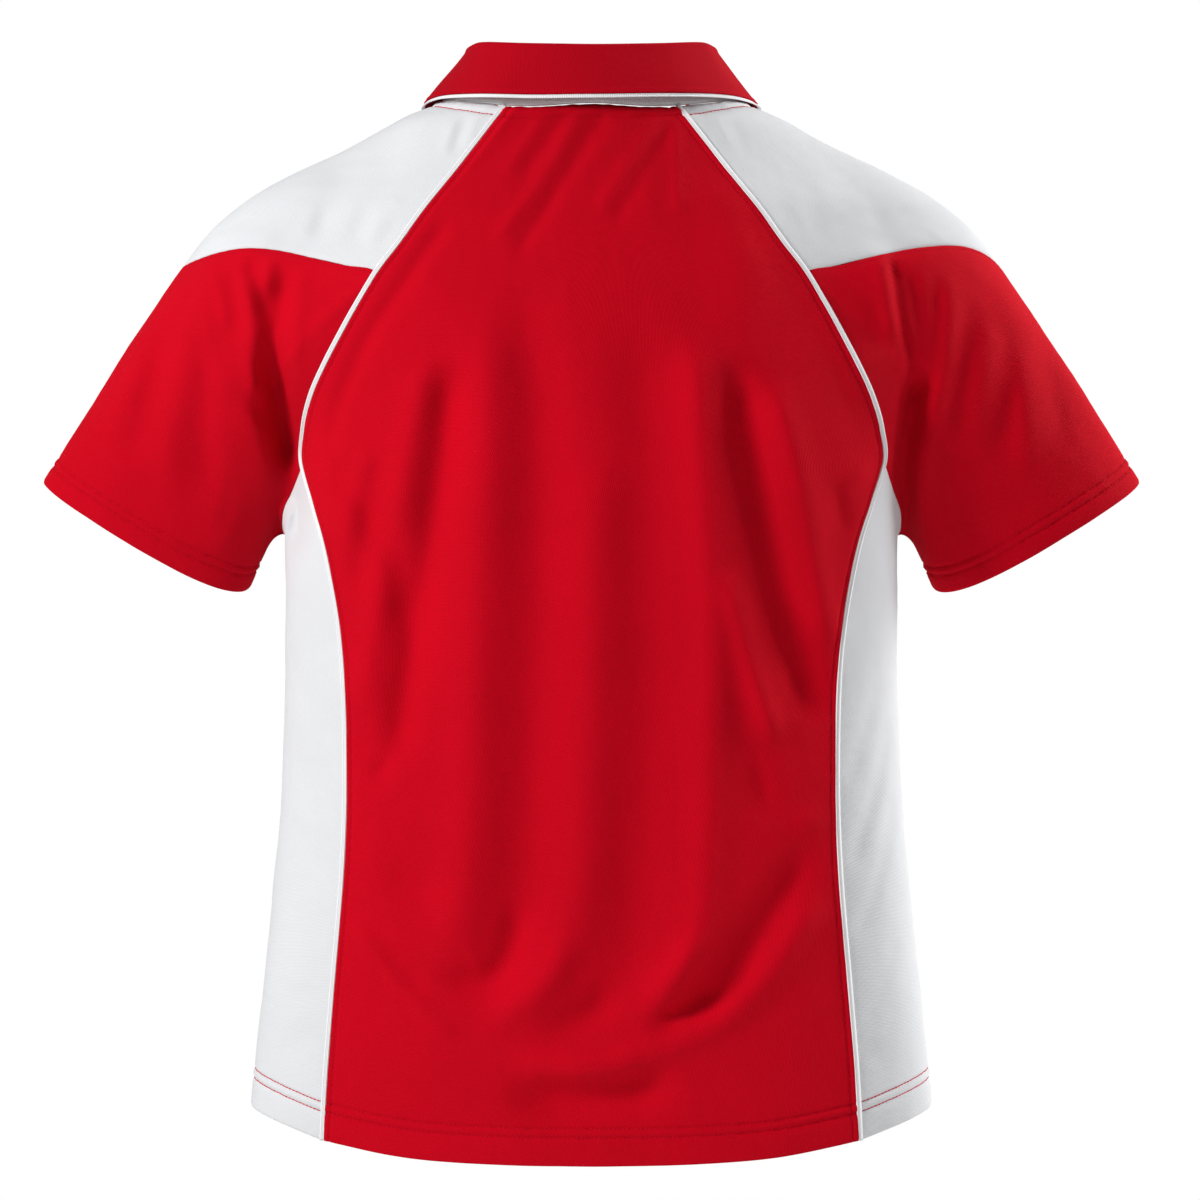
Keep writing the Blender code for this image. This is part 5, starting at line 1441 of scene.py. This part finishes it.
def make_stand(turns):
    top = collar_ring(STAND_TOP, turns)
    base = neckline(turns)
    base[:, 2] += SEAM_GAP + COLLAR_LIFT
    rise = np.linspace(0, 1, STAND_CELLS + 1)[:, None, None]
    out = outward_from_neck(base)[None]
    points = rise * (top + out[0] * STAND_LEAN)[None] + (1 - rise) * base[None]
    along = lengths_along(base)[None]
    pucker = STAND_PUCKER * ripple(along, seed=61) * np.clip(1 - rise[..., 0] * 3, 0, 1)
    points = points + out * pucker[..., None]
    piece = cloth_piece("collar_stand_cloth", "collar_stand", points,
                        np.broadcast_to(out, points.shape), white_rib, thickness=DOUBLE_CLOTH)


def leaf_places(turns):
    top = collar_ring(STAND_TOP, turns)
    out = outward_from_neck(top)
    rows = [top + out * reach + np.array((0.0, 0.0, rise)) for rise, reach in ROLL]
    edge = collar_ring(LEAF_EDGE, turns)
    start = rows[-1]
    for share in (0.25, 0.5, 0.75, 1.0):
        rows.append((1 - share) * start + share * edge)
    return np.stack(rows)


def make_leaf(turns):
    grid = drawn(leaf_places(turns), LEAF_STEPS_DRAWN)
    seen = len(grid) // 2
    grid = spaced_down(grid, steps_between(PLAIN_EDGE, LEAF_CELLS, LEAF_STEPS))
    facing = unit(np.cross(np.gradient(grid, axis=0), np.gradient(grid, axis=1)))
    if facing[-3, seen, 1] > 0 and grid[-3, seen, 1] < 0:
        facing = -facing
    fall = lengths_along(grid)
    along = lengths_along(grid.transpose(1, 0, 2)).T
    height, length = LEAF_WAVE
    wave = height * np.sin(2 * math.pi * along / length + 0.6)
    height, length = LEAF_UNEVENNESS
    wave = (wave + height * soft_noise(grid, length, seed=71)) * np.clip(fall / LEAF_FADE, 0, 1)
    lift = DOUBLE_CLOTH / 2 + wave + relief("leaf_stitch", fall[-1:] - fall, LEAF_ROW)
    grid = grid + facing * lift[..., None]
    short = np.maximum(COLLAR_CLEAR - form(grid), 0)
    for _ in range(LEAF_ROUNDS):
        short[:, 1:-1] = (short[:, :-2] + 2 * short[:, 1:-1] + short[:, 2:]) / 4
        short[1:-1] = (short[:-2] + 2 * short[1:-1] + short[2:]) / 4
    grid = grid + normals(grid) * short[..., None]
    piece = cloth_piece("collar_leaf_cloth", "collar_leaf", grid, facing, collar_knit,
                        thickness=DOUBLE_CLOTH)
    out = surface_normals(grid, facing)
    add_lines(red_lines, grid, out, rows=(-1 - LEAF_STEPS.index(LEAF_ROW),))
    tipping = make_tipping(grid, facing)


def make_tipping(leaf, facing):
    """A narrow tape round the leaf's edge."""
    edge = leaf[-1]
    fall = unit(leaf[-1] - leaf[-2])
    section = (
        # down from the leaf's edge, out from it
        (0.0002, -0.0004), (0.0004, 0.0003), (0.0012, 0.0006), (0.0022, 0.0005),
        (0.0029, 0.0000), (0.0031, -0.0006),
    )
    points = np.stack([edge + fall * down + facing[-1] * out for down, out in section])
    side = np.broadcast_to(facing[-1][None], points.shape)
    return cloth_piece("collar_tipping_cloth", "collar_tipping", points, side,
                       white_rib, thickness=TIPPING_CLOTH)


def make_collar():
    turns = collar_turns(COLLAR_CELLS)
    make_stand(turns)
    make_leaf(turns)


def make_placket():
    rows, columns = PLACKET_CELLS
    x = np.linspace(-PLACKET_HALF_WIDTH, PLACKET_HALF_WIDTH, columns + 1)
    top = neckline(180 + np.degrees(np.arcsin(x / NECK_HALF_WIDTH)))[:, 2]
    down = np.linspace(0, 1, rows + 1)[:, None]
    z = (1 - down) * top + down * (top.min() - PLACKET_LENGTH)
    grid = face_places(np.broadcast_to(x, z.shape).copy(), z, 1)
    facing = normals(grid)
    folds = fold_offsets(grid, facing)
    side = PLACKET_HALF_WIDTH - np.abs(x)[None, :]
    foot = lengths_along(grid)
    foot = foot[-1:] - foot
    edge = np.minimum(side, foot)
    stitched = relief("placket_stitch", edge, PLACKET_ROW) + relief("placket_edge", edge)
    for name, level, shape in (("upper", PLACKET_CLEAR + DOUBLE_CLOTH, stitched),
                               ("under", -CLOTH - PLACKET_CLEAR, 0 * stitched)):
        points = grid + folds + facing * (level + shape)[..., None]
        piece = cloth_piece("placket_cloth_" + name, "placket_" + name, points,
                            facing, red_knit, thickness=DOUBLE_CLOTH)
        if name == "upper":
            add_lines(red_lines, points, surface_normals(points, facing), columns=(2, -3))


def button_shape():
    """A four-hole button with a rim and a dished middle, sewn on, lying flat at the origin."""
    radius = BUTTON_DIAMETER / 2
    profile = (
        # out from the middle, height
        (0.0, BUTTON_DISH), (0.50, BUTTON_DISH), (0.60, 0.72), (0.70, 0.97), (0.80, 1.0),
        (0.90, 0.94), (0.98, 0.72), (1.0, 0.45), (0.95, 0.15), (0.82, 0.0), (0.0, 0.0),
    )
    bm = bmesh.new()
    verts = [bm.verts.new((x * radius, 0.0, z * BUTTON_HEIGHT)) for x, z in profile]
    edges = [bm.edges.new(pair) for pair in zip(verts[:-1], verts[1:])]
    bmesh.ops.spin(bm, geom=verts + edges, cent=(0, 0, 0), axis=(0, 0, 1),
                   angle=2 * math.pi, steps=40, use_merge=True)
    bmesh.ops.remove_doubles(bm, verts=bm.verts, dist=1e-6)
    bmesh.ops.recalc_face_normals(bm, faces=bm.faces)
    for turn in (45, 135, 225, 315):
        made = bmesh.ops.create_cone(bm, cap_ends=True, segments=12, radius1=BUTTON_HOLE,
                                     radius2=BUTTON_HOLE, depth=0.0002)
        place = (math.cos(math.radians(turn)) * BUTTON_HOLE_OUT,
                 math.sin(math.radians(turn)) * BUTTON_HOLE_OUT,
                 BUTTON_DISH * BUTTON_HEIGHT + 0.00002)
        bmesh.ops.translate(bm, verts=made["verts"], vec=place)
        for face in bm.faces:
            if all(v in made["verts"] for v in face.verts):
                face.material_index = 1
    return bm


def make_buttons():
    top = neckline((180.0,))[0]
    surface = PLACKET_CLEAR + DOUBLE_CLOTH + BUTTON_LIFT
    side = np.array((1.0, 0.0, 0.0))
    for number, drop in enumerate(BUTTON_DROPS, 1):
        place = face_places(np.zeros(1), np.array((top[2] - drop,)), 1)
        facing = normals(place)
        folds = fold_offsets(place, facing)[0]
        facing = facing[0]
        spot = place[0] + folds + facing * surface
        rise = np.cross(facing, side)
        bm = button_shape()
        for vert in bm.verts:
            x, y, z = vert.co
            vert.co = spot + side * x + rise * y + facing * z
        mesh = bpy.data.meshes.new("button_%d_disc" % number)
        bm.to_mesh(mesh)
        bm.free()
        mesh.shade_smooth()
        mesh.materials.append(button_plastic)
        mesh.materials.append(red_thread)
        piece = new_object("button_%d_disc" % number, mesh)
        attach(piece, "root")
        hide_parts("button_%d" % number)


# ---------------------------------------------------------------- light and camera

def make_stage():
    bm = bmesh.new()
    bmesh.ops.create_grid(bm, x_segments=2, y_segments=2, size=FLOOR_HALF_WIDTH)
    mesh = bpy.data.meshes.new("floor")
    bmesh.ops.translate(bm, verts=bm.verts, vec=(0, 0, FLOOR))
    bm.to_mesh(mesh)
    bm.free()
    floor = new_object("floor", mesh)
    mesh.materials.append(shader_tree("floor_paper", (0.76, 0.76, 0.76, 1), 0.9)[0])


def area_light(name, place, width, power):
    """A square lamp turned towards the shirt."""
    data = bpy.data.lights.new(name, "AREA")
    data.shape = "SQUARE"
    data.size = width
    data.energy = power
    lamp = bpy.data.objects.new(name, data)
    bpy.context.scene.collection.objects.link(lamp)
    lamp.location = place
    way = np.array(LIT_PLACE) - np.array(place)
    level = math.hypot(way[0], way[1])
    lamp.rotation_euler = (math.atan2(level, -way[2]), 0, math.atan2(-way[0], way[1]))


def make_light():
    """Two lamps, a soft fill from all round, and a white backdrop that only the camera sees."""
    world = bpy.data.worlds.new("studio")
    bpy.context.scene.world = world
    world.use_nodes = True
    tree = world.node_tree
    fill = tree.nodes["Background"]
    fill.inputs["Color"].default_value = (1, 1, 1, 1)
    fill.inputs["Strength"].default_value = FILL_LIGHT
    backdrop = node(tree, "ShaderNodeBackground")
    backdrop.inputs["Strength"].default_value = 1.0
    backdrop.inputs["Color"].default_value = (1, 1, 1, 1)
    seen = node(tree, "ShaderNodeLightPath")
    mix = node(tree, "ShaderNodeMixShader")
    tree.links.new(seen.outputs["Is Camera Ray"], mix.inputs[0])
    tree.links.new(fill.outputs[0], mix.inputs[1])
    tree.links.new(backdrop.outputs[0], mix.inputs[2])
    tree.links.new(mix.outputs[0], tree.nodes["World Output"].inputs[0])
    for lamp in LAMPS:
        area_light(*lamp)
    bpy.context.scene.view_settings.view_transform = "Standard"


def make_camera():
    data = bpy.data.cameras.new("camera")
    data.sensor_width = 36.0
    data.lens = CAMERA_LENS
    camera = bpy.data.objects.new("camera", data)
    bpy.context.scene.collection.objects.link(camera)
    camera.location = CAMERA_PLACE
    camera.rotation_euler = (math.pi / 2, 0, 0)
    bpy.context.scene.camera = camera


def main():
    piping = make_piping()
    make_back()
    make_front()
    for name, sign in (("left", -1), ("right", 1)):
        make_side(name, sign)
        make_yoke(name, sign)
        make_sleeve(name, sign)
    make_collar()
    make_placket()
    make_buttons()
    sew("red_stitches", red_lines, red_thread)
    sew("red_stitches_on_white", red_on_white, red_thread, BOLD_THREAD,
        BOLD_STITCH_LENGTH)
    make_stage()
    make_light()
    make_camera()
    bpy.context.view_layer.update()


main()
